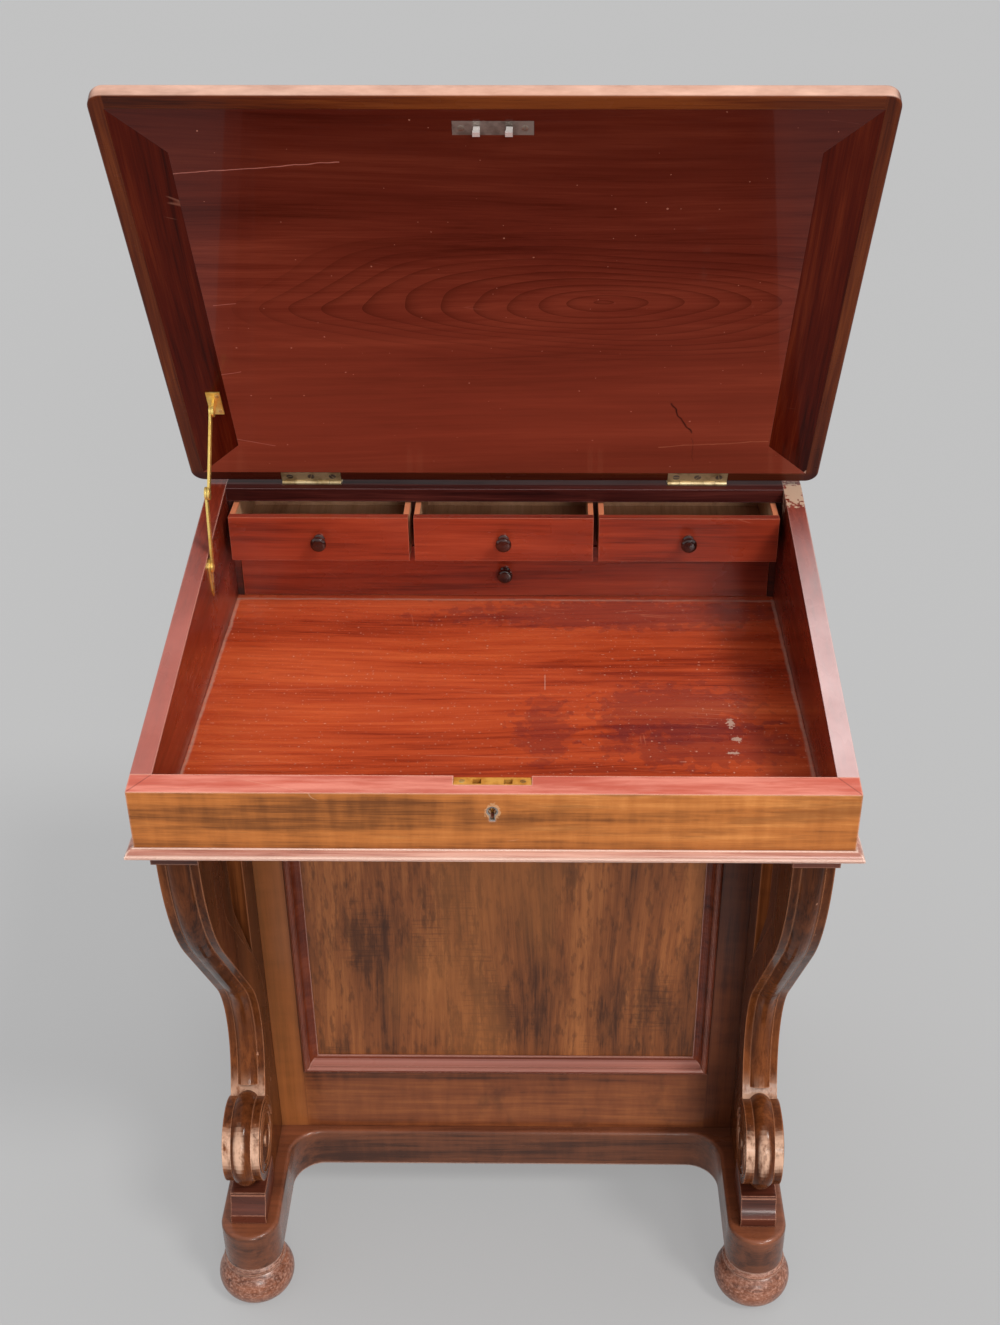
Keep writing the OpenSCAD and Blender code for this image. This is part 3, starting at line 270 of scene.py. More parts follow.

# %% [markdown]
# ## Effect: worn and highlighted arrises
# Two centuries of hands rub the polish off the sharp corners, called arrises, and they catch the light.
# Blender's Bevel node averages the way that the surface looks within a given radius. Where that and the
# surface's own normal part ways there is an edge, and noise breaks the wear up so that it isn't even.
# Laid pale and hardly broken, on the mouldings, the plinth, the legs and the feet, the same mask is a
# painted highlight as well as wear.

# %% Node group: worn and highlighted arrises
arris, into, out = effect(
    "Worn and highlighted arrises",
    [("Radius", "Float", 0.0015), ("Patchy", "Float", 0.5)],
    [("Mask", "Float")])
eased = put(arris, "Bevel", {"Radius": into["Radius"]}, samples=4).outputs[0]
own = put(arris, "NewGeometry", {}).outputs["Normal"]
edge = rise(arris, flip(arris, measure(arris, "DOT_PRODUCT", eased, own)), 0.01, 0.12)
spread = noise(arris, into["Vector"], (28, 28, 28), detail=4.0, rough=0.7)
keep = rise(arris, spread, times(arris, into["Patchy"], 0.55),
            calc(arris, "MULTIPLY_ADD", into["Patchy"], 0.55, 0.12))
arris.links.new(times(arris, edge, keep), out["Mask"])

# %% [markdown]
# ## Effect: grime and painted shade in the corners
# Old wax and dust gather where a cloth can't reach, and the same mask darkens those corners and recesses
# as painted shade. Ambient occlusion asks how much of the sky a point can see within a short distance,
# and its opposite is the grime and shade.

# %% Node group: corner grime and painted shade
grime_and_shade, into, out = effect(
    "Grime and shade in corners",
    [("Reach", "Float", 0.01)],
    [("Mask", "Float")])
open_sky = put(grime_and_shade, "AmbientOcclusion", {"Distance": into["Reach"]}, samples=4).outputs["AO"]
uneven = span(grime_and_shade, noise(grime_and_shade, into["Vector"], (60, 60, 60), detail=3.0), 0.5, 1.3)
closed = rise(grime_and_shade, flip(grime_and_shade, open_sky), 0.35, 0.95)
grime_and_shade.links.new(times(grime_and_shade, closed, uneven), out["Mask"])

# %% [markdown]
# ## Effect: fine scratches
# A scratch is a long thin line that goes where it likes. A line where smooth, stretched noise crosses
# its middle value is just that, and a second, coarser noise decides where the surface is scratched.

# %% Node group: fine scratches
scratches, into, out = effect(
    "Fine scratches",
    [("Angle", "Float", 0.3), ("Thin", "Float", 0.012), ("Amount", "Float", 0.4)],
    [("Mask", "Float")])
turned = put(scratches, "VectorRotate", {"Vector": into["Vector"], "Angle": into["Angle"]},
             rotation_type="Z_AXIS").outputs[0]
line = calc(scratches, "ABSOLUTE", centred(scratches, noise(scratches, turned, (5, 60, 60), detail=0.0)))
line = fall(scratches, line, 0.0, into["Thin"])
where = noise(scratches, turned, (14, 30, 30))
gate = calc(scratches, "SUBTRACT", 0.8, times(scratches, into["Amount"], 0.4))
scratched = rise(scratches, where, gate, calc(scratches, "ADD", gate, 0.06))
scratches.links.new(times(scratches, line, scratched), out["Mask"])

# %% [markdown]
# ## Effect: a ragged patch
# Stains, spills and chips are patches in one place with a torn edge. The group is a soft ellipsoid whose
# distance is disturbed by noise.

# %% Node group: ragged patch
patch, into, out = effect(
    "Ragged patch",
    [("Centre", "Vector", (0, 0, 0)), ("Size", "Vector", (0.1, 0.1, 0.1)),
     ("Ragged", "Float", 40.0), ("Torn", "Float", 1.0)],
    [("Mask", "Float")])
offset = shift(patch, "DIVIDE", shift(patch, "SUBTRACT", into["Vector"], into["Centre"]), into["Size"])
away = measure(patch, "LENGTH", offset)
ragged_by = put(patch, "TexNoise", {"Vector": into["Vector"], "Scale": into["Ragged"],
                                    "Detail": 4.0}).outputs[0]
away = calc(patch, "MULTIPLY_ADD", centred(patch, ragged_by), into["Torn"], away)
patch.links.new(fall(patch, away, 0.8, 0.95), out["Mask"])

# %% [markdown]
# ## Effect: one scored line
# Some marks are known one by one, such as the long scratch in the lid and the crack in its board. The
# group measures how far a point is from a line between two ends, and noise makes the line wander.

# %% Node group: scored line
scored, into, out = effect(
    "Scored line",
    [("From", "Vector", (0, 0, 0)), ("To", "Vector", (0.1, 0, 0)),
     ("Width", "Float", 0.0005), ("Wander", "Float", 0.002)],
    [("Mask", "Float")])
stray = noise(scored, into["Vector"], (45, 45, 45), out=1)
stray = scaled(scored, shift(scored, "SUBTRACT", stray, (0.5, 0.5, 0.5)), into["Wander"])
here = shift(scored, "MULTIPLY", shift(scored, "ADD", into["Vector"], stray), (1, 1, 0))
to_point = shift(scored, "SUBTRACT", here, into["From"])
to_end = shift(scored, "SUBTRACT", into["To"], into["From"])
reach = measure(scored, "DOT_PRODUCT", to_point, to_end)
share = calc(scored, "DIVIDE", reach, measure(scored, "DOT_PRODUCT", to_end, to_end))
share = calc(scored, "MINIMUM", calc(scored, "MAXIMUM", share), 1.0)
gap = measure(scored, "LENGTH", shift(scored, "SUBTRACT", to_point, scaled(scored, to_end, share)))
fading = span(scored, noise(scored, into["Vector"], (120, 120, 120)), 0.35, 1.3)
scored.links.new(times(scored, fall(scored, gap, 0.0, into["Width"]), fading), out["Mask"])

# %% [markdown]
# ## Effect: hand polish
# A hand-rubbed surface is never evenly glossy. This group varies the roughness between a glossy and a
# dull value in cloudy patches, with a finer wipe pattern on top.

# %% Node group: hand polish
polish, into, out = effect(
    "Hand polish",
    [("Glossy", "Float", 0.15), ("Dull", "Float", 0.3)],
    [("Roughness", "Float")])
clouds = noise(polish, into["Vector"], (7, 7, 7), detail=4.0, rough=0.6)
wipes = noise(polish, into["Vector"], (30, 90, 90))
cloudy = rise(polish, calc(polish, "MULTIPLY_ADD", wipes, 0.35, clouds), 0.5, 0.85)
polish.links.new(span(polish, cloudy, into["Glossy"], into["Dull"]), out["Roughness"])
print("effects:", len(bpy.data.node_groups))

# %% [markdown]
# ## Turning the grain
# Every solid keeps its place in its mesh, so object coordinates are metres in the desk's own space, and
# they ride along when a drawer slides. A board's fibres run along one axis, and a Mapping node turns
# the coordinates so that this axis becomes X, where the grain group expects it. The lid is leaning, so
# its coordinates are measured from the hinge and tipped by the angle at which the stay holds it.

# %% Grain directions
HINGE_Y, HINGE_Z = 0.141, 0.750332
LID_ANGLE = math.radians(62.6)
TURNS = {
    "x": ((0, 0, 0), (0, 0, 0)),
    "y": ((0, 0, 0), (0, 0, -math.pi / 2)),
    "z": ((0, 0, 0), (0, math.pi / 2, 0)),
    "lid": ((0, HINGE_Y, HINGE_Z), (math.pi + LID_ANGLE, 0, 0)),
}


def turned_to(tree, direction, vector):
    """Coordinates whose X runs along the fibres; for the lid, Y runs up it from the hinge."""
    origin, angles = TURNS[direction]
    moved = shift(tree, "SUBTRACT", vector, origin)
    return put(tree, "Mapping", {"Vector": moved, "Rotation": angles}).outputs[0]


# %% [markdown]
# ## A finish, built up in coats
# A polisher works in coats, and so does this class: it starts with the grain, then each call lays
# something over it, and `seal` wires the colour, the dullness and the relief to a Principled shader and
# gives the finish to solids by name. Values that are the same all over, such as the coat, are set on the
# shader's own sockets.


# %% The finish class
class Finish:
    """A material in the making: a colour, a roughness and a height that grow coat by coat."""

    def __init__(self, name, direction="x"):
        self.material = bpy.data.materials.new(name)
        self.material.use_nodes = True
        self.tree = self.material.node_tree
        self.tree.nodes.clear()
        self.spot = put(self.tree, "TexCoord", {}).outputs["Object"]
        self.along = turned_to(self.tree, direction, self.spot)
        self.only = 1.0  # a mask for all that `lay` does
        self.height = 0.0
        self.rough = 0.3

    def wood(self, pale, middle, dark, seed=0.0, bend=0.02, streaks=1.0, mottle=0.0, vector=None):
        made = use(self.tree, grain, {
            "Vector": vector or self.along, "Seed": seed, "Bend": bend, "Streaks": streaks,
            "Mottle": mottle, "Pale": colour(*pale), "Middle": colour(*middle), "Dark": colour(*dark)})
        self.colour = blend(self.tree, times(self.tree, made["Pores"], 0.35), made["Color"], colour(*dark))
        self.height = times(self.tree, made["Pores"], -0.4)
        return self

    def cloud(self, stretch, detail=2.0, rough=0.5):
        """Noise in the desk's own space."""
        return noise(self.tree, self.spot, stretch, detail, rough)

    def streak(self, stretch, detail=2.0, rough=0.5):
        """Noise whose X runs along the fibres."""
        return noise(self.tree, self.along, stretch, detail, rough)

    def across(self):
        """Coordinates for fibres that run across the direction of the others."""
        feeds = {"Vector": self.along, "Rotation": (0, 0, -math.pi / 2)}
        return put(self.tree, "Mapping", feeds).outputs[0]

    def gloss(self, glossy, dull):
        feeds = {"Vector": self.along, "Glossy": glossy, "Dull": dull}
        self.rough = use(self.tree, polish, feeds)["Roughness"]
        return self

    def lay(self, mask, paint, amount, dull=None, raised=None):
        """Lays a colour where a mask says, and may change the dullness and the height there too."""
        weight = times(self.tree, times(self.tree, mask, amount), self.only)
        self.colour = blend(self.tree, weight, self.colour, colour(*paint))
        if dull is not None:
            feeds = {0: weight, 2: self.rough, 3: dull}
            self.rough = put(self.tree, "Mix", feeds, data_type="FLOAT").outputs[0]
        if raised is not None:
            self.height = calc(self.tree, "MULTIPLY_ADD", weight, raised, self.height)
        return self

    # Lays a colour along the arrises: wear, and where it is pale and hardly broken a painted highlight.
    def wear_and_highlight(self, paint, amount=0.6, radius=0.0015, patchy=0.5):
        mask = use(self.tree, arris, {"Vector": self.spot, "Radius": radius, "Patchy": patchy})["Mask"]
        return self.lay(mask, paint, amount, dull=0.35)

    # Darkens the corners that ambient occlusion finds: grime, and painted shade in the same places.
    def dirt_and_shade(self, paint, amount=0.7, reach=0.01):
        mask = use(self.tree, grime_and_shade, {"Vector": self.spot, "Reach": reach})["Mask"]
        return self.lay(mask, paint, amount, dull=0.6)

    def scratch(self, paint, amount=0.4, angle=0.3, thin=0.012, share=0.4):
        feeds = {"Vector": self.along, "Angle": angle, "Thin": thin, "Amount": share}
        return self.lay(use(self.tree, scratches, feeds)["Mask"], paint, amount, dull=0.5, raised=-0.3)

    def mark(self, centre, size, paint, amount, ragged, torn, dull=None, raised=None, vector=None):
        feeds = {"Vector": vector or self.along, "Centre": centre, "Size": size, "Ragged": ragged,
                 "Torn": torn}
        return self.lay(use(self.tree, patch, feeds)["Mask"], paint, amount, dull=dull, raised=raised)

    def score(self, start, end, paint, width=0.0006, wander=0.003, amount=0.7, raised=-0.6):
        feeds = {"Vector": self.along, "From": (*start, 0), "To": (*end, 0), "Width": width,
                 "Wander": wander}
        return self.lay(use(self.tree, scored, feeds)["Mask"], paint, amount, dull=0.5, raised=raised)

    def facing(self, way, low=0.5, high=0.8):
        """1 where the surface looks one way, such as straight up, and 0 elsewhere."""
        return rise(self.tree, measure(self.tree, "DOT_PRODUCT", own_normal(self.tree), way), low, high)

    def seal(self, *names, coat=0.0, coat_rough=0.05, metallic=0.0, relief=0.2, specular=0.5, ease=0.0008):
        """Ends the material and gives it to solids, in place of the plain one that they came with."""
        eased_normal = put(self.tree, "Bevel", {"Radius": ease}, samples=4).outputs[0]
        surface = put(self.tree, "Bump", {"Height": self.height, "Strength": relief, "Distance": 0.0004,
                                          "Normal": eased_normal})
        shader = put(self.tree, "BsdfPrincipled", {
            "Base Color": self.colour, "Roughness": self.rough, "Metallic": metallic, "Coat Weight": coat,
            "Coat Roughness": coat_rough, "Specular IOR Level": specular, "Normal": surface.outputs[0]})
        put(self.tree, "OutputMaterial", {0: shader.outputs[0]})
        for name in names:
            for place in solids[name].material_slots:
                place.material = self.material
        return self.material


# %% [markdown]
# ## Mahogany of the writing box
# Inside, the desk is Cuban mahogany under French polish: orange-red where the light has bleached it and
# deep red-brown where the closed lid kept it dark. The well's floor has seen most of life, so it gets
# the dark spill, the pale dabs, the dust along its joints and the specks that fall from a pen. A mark
# is placed in metres and reaches through the board's surface.

# %% Well floor
WELL_Z, THROUGH = 0.632, 0.05
WELL_SIDE, WELL_BACK, WELL_FRONT = 0.2615, 0.13, -0.26
STAIN, DAB, DUST, SCORE = (104, 38, 42), (208, 178, 158), (206, 168, 150), (232, 160, 130)
well = Finish("well_floor", "x")
well.wood((218, 100, 54), (190, 74, 38), (134, 40, 20), seed=1.0, bend=0.05, streaks=0.65).gloss(0.25, 0.42)
for x, y, wide, deep, torn in ((0.155, -0.080, 0.078, 0.052, 1.3), (0.038, -0.112, 0.026, 0.050, 2.0),
                               (0.175, -0.130, 0.090, 0.035, 1.5), (0.110, 0.100, 0.170, 0.030, 1.4)):
    centre, size = (x, y, WELL_Z), (wide, deep, THROUGH)
    well.mark(centre, size, STAIN, 0.3, ragged=90.0, torn=torn * 2, dull=0.25)
    well.mark(centre, size, STAIN, 0.2, ragged=28.0, torn=torn, dull=0.25)
for x, y, wide, deep in ((0.200, -0.096, 0.003, 0.008), (0.203, -0.122, 0.004, 0.004),
                         (0.198, -0.143, 0.005, 0.002)):
    well.mark((x, y, WELL_Z), (wide, deep, THROUGH), DAB, 0.7, ragged=430.0, torn=3.4, dull=0.6)
well.score((0.0392, -0.041), (0.0392, -0.015), (236, 200, 180), width=0.0005, wander=0.001)
for start, end in (((-0.225, -0.043), (-0.150, -0.040)), ((-0.06, -0.148), (0.05, -0.152))):
    well.score(start, end, SCORE, width=0.0005, wander=0.004, amount=0.5)
well.scratch((232, 150, 116), 0.45, angle=0.12, thin=0.007, share=0.5)
well.scratch((232, 150, 116), 0.35, angle=1.5, thin=0.006, share=0.35)
specks = well.cloud((380, 380, 380), detail=0.0)
well.lay(rise(well.tree, specks, 0.77, 0.82), (230, 180, 156), 0.5, dull=0.6)
for start, end in (((-0.263, 0.130), (0.263, 0.128)), ((WELL_SIDE, WELL_FRONT), (WELL_SIDE, WELL_BACK)),
                   ((-WELL_SIDE, WELL_FRONT), (-WELL_SIDE, WELL_BACK))):
    well.score(start, end, DUST, width=0.0028, wander=0.003, amount=0.65, raised=0.3)
well.dirt_and_shade((120, 62, 48), 0.5, reach=0.006)
well.seal("well_floor", coat=0.25, coat_rough=0.12)

# %% [markdown]
# ## The lid's underside
# The lid is the show piece. Its wide board has an oval figure in the middle, the clamps at its ends run
# across the grain and meet it in mitres, and the polish is as good as a mirror, so that the well shows
# in it. A coat over the wood, with almost no roughness of its own, gives that depth of gloss. Painted
# reflection and light also make the underside lighter low down and darker towards the top.

# %% Lid board
LID_FACE = Vector((0, -math.sin(LID_ANGLE), -math.cos(LID_ANGLE)))
lid = Finish("lid_board", "lid")
lid.wood((142, 62, 42), (112, 42, 28), (78, 24, 14), seed=4.0, bend=0.06, streaks=0.5)
ovals = use(lid.tree, rings, {"Vector": lid.along, "Centre": (0.085, 0.236, 0.0), "Length": 0.285,
                              "Width": 0.078, "Count": 11.0, "Wander": 0.75})
lid.lay(ovals["Lines"], (56, 15, 9), 0.72)
lid.lay(ovals["Inside"], (84, 26, 16), 0.16)
underside = lid.facing(LID_FACE)
lid.only = underside
height_up = parts_of(lid.tree, lid.along)[1]
# Painted reflection and light: lighter low down, darker towards the top.
lid.lay(fall(lid.tree, height_up, 0.03, 0.30), (168, 78, 56), 0.45)
lid.lay(rise(lid.tree, height_up, 0.22, 0.43), (58, 12, 5), 0.6)
lid.lay(fall(lid.tree, height_up, 0.011, 0.013), (52, 16, 16), 0.75)
lid.gloss(0.10, 0.2)
PALE, ORANGE, CRACK = (206, 128, 112), (196, 116, 84), (40, 10, 8)
for start, end, paint, width, wander, amount in (
        ((-0.2447, 0.3678), (-0.1166, 0.3802), PALE, 0.0007, 0.004, 0.85),
        ((-0.2364, 0.2311), (-0.2178, 0.2334), PALE, 0.0005, 0.002, 0.7),
        ((-0.2490, 0.1468), (-0.2264, 0.1519), PALE, 0.0006, 0.003, 0.7),
        ((-0.2493, 0.0643), (-0.2097, 0.0532), PALE, 0.0006, 0.002, 0.7),
        ((0.1437, 0.0531), (0.2415, 0.0619), ORANGE, 0.0010, 0.006, 0.6),
        ((0.1505, 0.1132), (0.1696, 0.0728), CRACK, 0.0017, 0.012, 1.0),
        ((0.1705, 0.0660), (0.1760, 0.0330), CRACK, 0.0006, 0.010, 0.5)):
    lid.score(start, end, paint, width, wander, amount)
lid.scratch((190, 112, 96), 0.4, angle=0.04, thin=0.005, share=0.35)
specks = lid.streak((300, 300, 300), detail=0.0)
lid.lay(rise(lid.tree, specks, 0.86, 0.88), (214, 140, 116), 0.5)
lid.only = 1.0
lid.lay(flip(lid.tree, underside), (150, 84, 46), 0.45)
lid.seal("lid_panel", coat=0.24, coat_rough=0.03, specular=0.08)

# %% Lid clamps and edge
clamp = Finish("lid_clamp", "lid")
clamp.wood((106, 38, 16), (80, 20, 7), (50, 10, 4), seed=6.0, bend=0.03, streaks=0.7, vector=clamp.across())
clamp.gloss(0.12, 0.24).scratch((170, 110, 90), 0.4, angle=0.2, share=0.35)
underside = clamp.facing(LID_FACE)
clamp.only = underside
clamp.mark((0.262, 0.014, 0.0), (0.026, 0.008, 0.02), (206, 160, 138), 0.8, ragged=160.0, torn=2.4,
           dull=0.6, raised=-1.0)
clamp.only = 1.0
clamp.lay(flip(clamp.tree, underside), (134, 66, 34), 0.4)
clamp.seal("lid_clamps", coat=0.06, coat_rough=0.04, specular=0.04)

strip = Finish("lid_edge", "lid")
LID_SIDE = 0.2825
x, height_up, _ = parts_of(strip.tree, strip.along)
at_side = rise(strip.tree, calc(strip.tree, "ABSOLUTE", x), LID_SIDE - 0.001, LID_SIDE + 0.001)
strip.wood((126, 62, 26), (94, 38, 14), (56, 18, 7), seed=8.0, streaks=0.8,
           vector=choose(strip.tree, at_side, strip.along, strip.across()))
strip.gloss(0.22, 0.38)
# Painted sheen: the far edge, which looks up, is laid pale and glossy in streaks.
wear_and_sheen = span(strip.tree, strip.streak((30, 90, 90), detail=4.0, rough=0.65), 0.35, 1.3)
far_edge = strip.facing((0, -math.cos(LID_ANGLE), math.sin(LID_ANGLE)), 0.55, 0.95)
strip.lay(times(strip.tree, far_edge, wear_and_sheen), (240, 194, 172), 0.75, dull=0.2)
strip.lay(fall(strip.tree, height_up, 0.011, 0.018), (58, 18, 16), 0.7)
strip.seal("lid_edge", coat=0.1, coat_rough=0.08, specular=0.1, ease=0.0015)

# %% [markdown]
# ## The walls of the box
# Each side is a mahogany board whose outer face was veneered in walnut, while its sloping top edge and
# its inner face were left red. One material can hold both woods: which way a face looks picks the wood.
# The front board is made in the same way.


# %% Walls
def two_woods(name, direction, outward, seed):
    """Walnut on the face that looks outward, mahogany on all the others."""
    wall = Finish(name, direction)
    wall.wood((148, 58, 36), (118, 38, 20), (76, 20, 10), seed=seed, streaks=0.7)
    red = wall.colour
    wall.wood((226, 148, 80), (188, 112, 54), (116, 66, 32), seed=seed + 3, streaks=0.5, mottle=0.3)
    wall.colour = blend(wall.tree, wall.facing(outward, 0.45, 0.55), red, wall.colour)
    return wall


for wall_name, outward, seed, painted_sheen in (("side_left", (-1, 0, 0), 11, (194, 116, 104)),
                                        ("side_right", (1, 0, 0), 12, (244, 212, 210))):
    wall = two_woods(wall_name, "y", outward, seed)
    wall.gloss(0.2, 0.36).wear_and_highlight((226, 176, 160), 0.6, radius=0.002, patchy=0.4)
    # Painted sheen: the top edges, which look up, are laid pale nearer the front, pinkish white on the
    # right side and darker on the left.
    nearer = rise(wall.tree, parts_of(wall.tree, wall.spot)[1], 0.14, -0.12)
    cloudy = span(wall.tree, wall.cloud((12, 12, 12), detail=4.0, rough=0.65), 0.45, 1.25)
    sheen = times(wall.tree, wall.facing((0, 0, 1)), times(wall.tree, nearer, cloudy))
    wall.lay(sheen, painted_sheen, 0.74)
    wall.scratch((216, 160, 140), 0.35, share=0.4).dirt_and_shade((34, 10, 6), 0.5, reach=0.008)
    wall.mark((0.272, 0.125, 0.745), (0.012, 0.022, 0.03), (206, 176, 150), 0.8, ragged=220.0, torn=2.6,
              dull=0.7, raised=-1.0, vector=wall.spot)
    wall.seal(wall_name, coat=0.2, coat_rough=0.12, specular=0.35, ease=0.0012)

front = two_woods("front_board", "x", (0, -1, 0), 14)
# Painted sheen: the top edge, which looks up, is laid lighter and pinker, with paler blotches.
up_there = front.facing((0, 0, 1), 0.5, 0.7)
front.lay(up_there, (236, 124, 104), 0.5)
sheen_blotches = rise(front.tree, front.cloud((9, 90, 90), detail=4.0, rough=0.65), 0.36, 0.70)
front.lay(times(front.tree, sheen_blotches, up_there), (246, 166, 146), 0.5)
for corner in (-1, 1):
    mitre = use(front.tree, scored, {
        "Vector": front.spot, "From": (corner * 0.280, -0.280, 0), "To": (corner * 0.263, -0.260, 0),
        "Width": 0.0007, "Wander": 0.0})["Mask"]
    front.lay(times(front.tree, mitre, up_there), (92, 40, 36), 0.8)
front.gloss(0.22, 0.38).wear_and_highlight((240, 190, 168), 0.65, radius=0.002, patchy=0.35)
front.scratch((236, 190, 160), 0.35, share=0.3)
dashes = front.cloud((8, 60, 62), detail=4.0, rough=0.65)
on_face = flip(front.tree, up_there)
front.lay(times(front.tree, rise(front.tree, dashes, 0.46, 0.64), on_face), (100, 58, 28), 0.42)
# Painted shade: the face is laid darker towards its bottom.
face_up = parts_of(front.tree, front.spot)[2]
front.lay(fall(front.tree, face_up, 0.628, 0.640), (120, 72, 38), 0.4)
front.mark((-0.0005, -0.28, 0.667), (0.0064, 0.02, 0.0088), (214, 172, 130), 0.5, ragged=500.0, torn=1.2)
front.seal("front_board", coat=0.12, coat_rough=0.12, specular=0.15)

# %% Rail, bank, mouldings and the fixed top
rail = Finish("hinge_rail", "x").wood((84, 36, 30), (62, 22, 18), (40, 12, 10), seed=17).gloss(0.3, 0.45)
rail.wear_and_highlight((190, 160, 158), 0.35, radius=0.001, patchy=0.4)
rail.seal("hinge_rail", coat=0.05, coat_rough=0.08, specular=0.08)

bank = Finish("drawer_bank", "x").wood((120, 48, 32), (92, 32, 20), (52, 16, 9), seed=18).gloss(0.3, 0.5)
# Painted shade and grime: the bank darkens almost to black in its recesses.
bank.dirt_and_shade((20, 8, 5), 0.7, reach=0.02).seal("drawer_bank", coat=0.1, coat_rough=0.2)

moulding = Finish("base_moulding", "x").wood((212, 156, 136), (174, 112, 94), (118, 64, 50), seed=19)
# Painted highlight: the arrises are laid almost white and hardly broken.
moulding.gloss(0.2, 0.35).wear_and_highlight((255, 226, 208), 0.95, radius=0.0024, patchy=0.05)
moulding.dirt_and_shade((80, 34, 24), 0.6, reach=0.003)
moulding.seal("base_moulding", coat=0.25, coat_rough=0.1, specular=0.3)

cap = Finish("fixed_top", "x")
cap.wood((196, 130, 70), (160, 98, 52), (100, 56, 28), seed=20, streaks=0.7, mottle=0.12)
cap.gloss(0.18, 0.34).wear_and_highlight((220, 160, 110), 0.5)
cap.seal("top_board", coat=0.5, coat_rough=0.07)

carcase = Finish("carcase_back", "x").wood((176, 114, 64), (140, 86, 46), (86, 48, 24), seed=21, mottle=0.2)
carcase.gloss(0.3, 0.5).wear_and_highlight((200, 140, 96), 0.5).seal("back_board", coat=0.2, coat_rough=0.2)

# %% [markdown]
# ## Drawers of the well
# The small drawer fronts are bright red mahogany with a thin worn top edge. The linings are plainer
# wood that was never polished: paler and orange where it was planed, and greyed inside, in the corners,
# with ink, dust and painted shade.

# %% Well drawers
WELL_DRAWERS = ["small_drawer_" + side for side in ("left", "middle", "right")] + ["long_drawer"]
for number, stem in enumerate(WELL_DRAWERS):
    red = Finish(stem + "_front", "x")
    red.wood((172, 68, 40), (146, 50, 27), (104, 29, 14), seed=30 + number, streaks=0.7)
    red.gloss(0.2, 0.38).wear_and_highlight((206, 120, 92), 0.6, radius=0.0015, patchy=0.35).scratch((200, 110, 84), 0.35)
    red.dirt_and_shade((44, 12, 8), 0.5, reach=0.006)
    red.seal(stem + "_front", coat=0.3, coat_rough=0.12)
    lining = Finish(stem + "_lining", "y")
    lining.wood((226, 184, 146), (204, 158, 120), (170, 124, 90), seed=40 + number, streaks=0.5)
    height = parts_of(lining.tree, lining.spot)[2]
    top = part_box(stem + "_box")[1].z
    lining.lay(rise(lining.tree, height, top - 0.004, top - 0.0005), (222, 126, 84), 0.8)
    lining.gloss(0.5, 0.7).dirt_and_shade((104, 70, 48), 0.4, reach=0.006)
    lining.seal(stem + "_box", relief=0.35)

# %% [markdown]
# ## Turned knobs
# The knobs are turned from a wood dyed almost black, and handling has given them the hardest shine on
# the desk. A lathe leaves rings, so the grain is fine and dark and the roughness very low.

# %% Knobs
knob = Finish("turned_knobs", "y").wood((60, 24, 18), (36, 13, 10), (18, 6, 5), seed=50, streaks=0.6)
knob.gloss(0.1, 0.2).wear_and_highlight((120, 64, 48), 0.5, radius=0.001)
knob.seal("dummy_knobs", *[stem + "_knob" for stem in WELL_DRAWERS],
          *["side_drawer_%d_knobs" % number for number in range(1, 5)],
          coat=0.8, coat_rough=0.03, ease=0.0003)

# %% [markdown]
# ## Walnut of the pedestal
# The pedestal is veneered in walnut. Its panel has upright grain with smoky flames and short cross
# ripples, the stiles beside it run upright and the rails run across. The side drawers have figured
# fronts on plain boxes. The panel's moulding and the plinth are solid mahogany, darker and redder.

# %% Pedestal
panel = Finish("panel_walnut", "z")
panel.wood((178, 108, 58), (136, 76, 38), (78, 40, 20), seed=60, bend=0.06, streaks=0.6, mottle=0.08)
clusters = panel.streak((5, 13, 13), detail=3.0)
flames = panel.streak((16, 75, 75), detail=5.0, rough=0.7)
flames = calc(panel.tree, "MULTIPLY_ADD", centred(panel.tree, clusters), 0.6, flames)
panel.lay(rise(panel.tree, flames, 0.50, 0.68), (56, 28, 13), 0.55)
short_flames = panel.streak((42, 150, 150), detail=3.0, rough=0.6)
panel.lay(rise(panel.tree, short_flames, 0.52, 0.66), (62, 30, 13), 0.42)
ripples = panel.streak((330, 24, 24))
ripples = times(panel.tree, rise(panel.tree, ripples, 0.50, 0.62), rise(panel.tree, clusters, 0.52, 0.62))
panel.lay(ripples, (70, 38, 22), 0.4)
glow = panel.streak((3, 9, 9))
panel.lay(rise(panel.tree, glow, 0.50, 0.66), (196, 122, 62), 0.28)
panel.gloss(0.3, 0.45).dirt_and_shade((48, 24, 14), 0.6, reach=0.014)
panel.seal("front_panel", coat=0.15, coat_rough=0.15, specular=0.3)

framing = Finish("frame_walnut", "z")
STILE_EDGE = 0.2095
x = parts_of(framing.tree, framing.spot)[0]
in_rail = fall(framing.tree, calc(framing.tree, "ABSOLUTE", x), STILE_EDGE - 0.0005, STILE_EDGE + 0.0005)
framing.wood((150, 86, 46), (122, 64, 34), (74, 37, 19), seed=62, streaks=0.6, mottle=0.4,
             vector=choose(framing.tree, in_rail, framing.along, framing.spot))
flames = framing.cloud((22, 22, 14), detail=4.0, rough=0.65)
framing.lay(rise(framing.tree, flames, 0.54, 0.72), (66, 34, 20), 0.45)
# Painted shadow on the right stile, which the right leg shades, and painted light on the left stile.
framing.lay(rise(framing.tree, x, 0.19, 0.21), (70, 30, 18), 0.45)
framing.lay(fall(framing.tree, x, -0.215, -0.205), (200, 124, 66), 0.36)
framing.gloss(0.28, 0.42).dirt_and_shade((40, 18, 11), 0.6, reach=0.014)
framing.seal("front_frame", coat=0.15, coat_rough=0.15, specular=0.3)

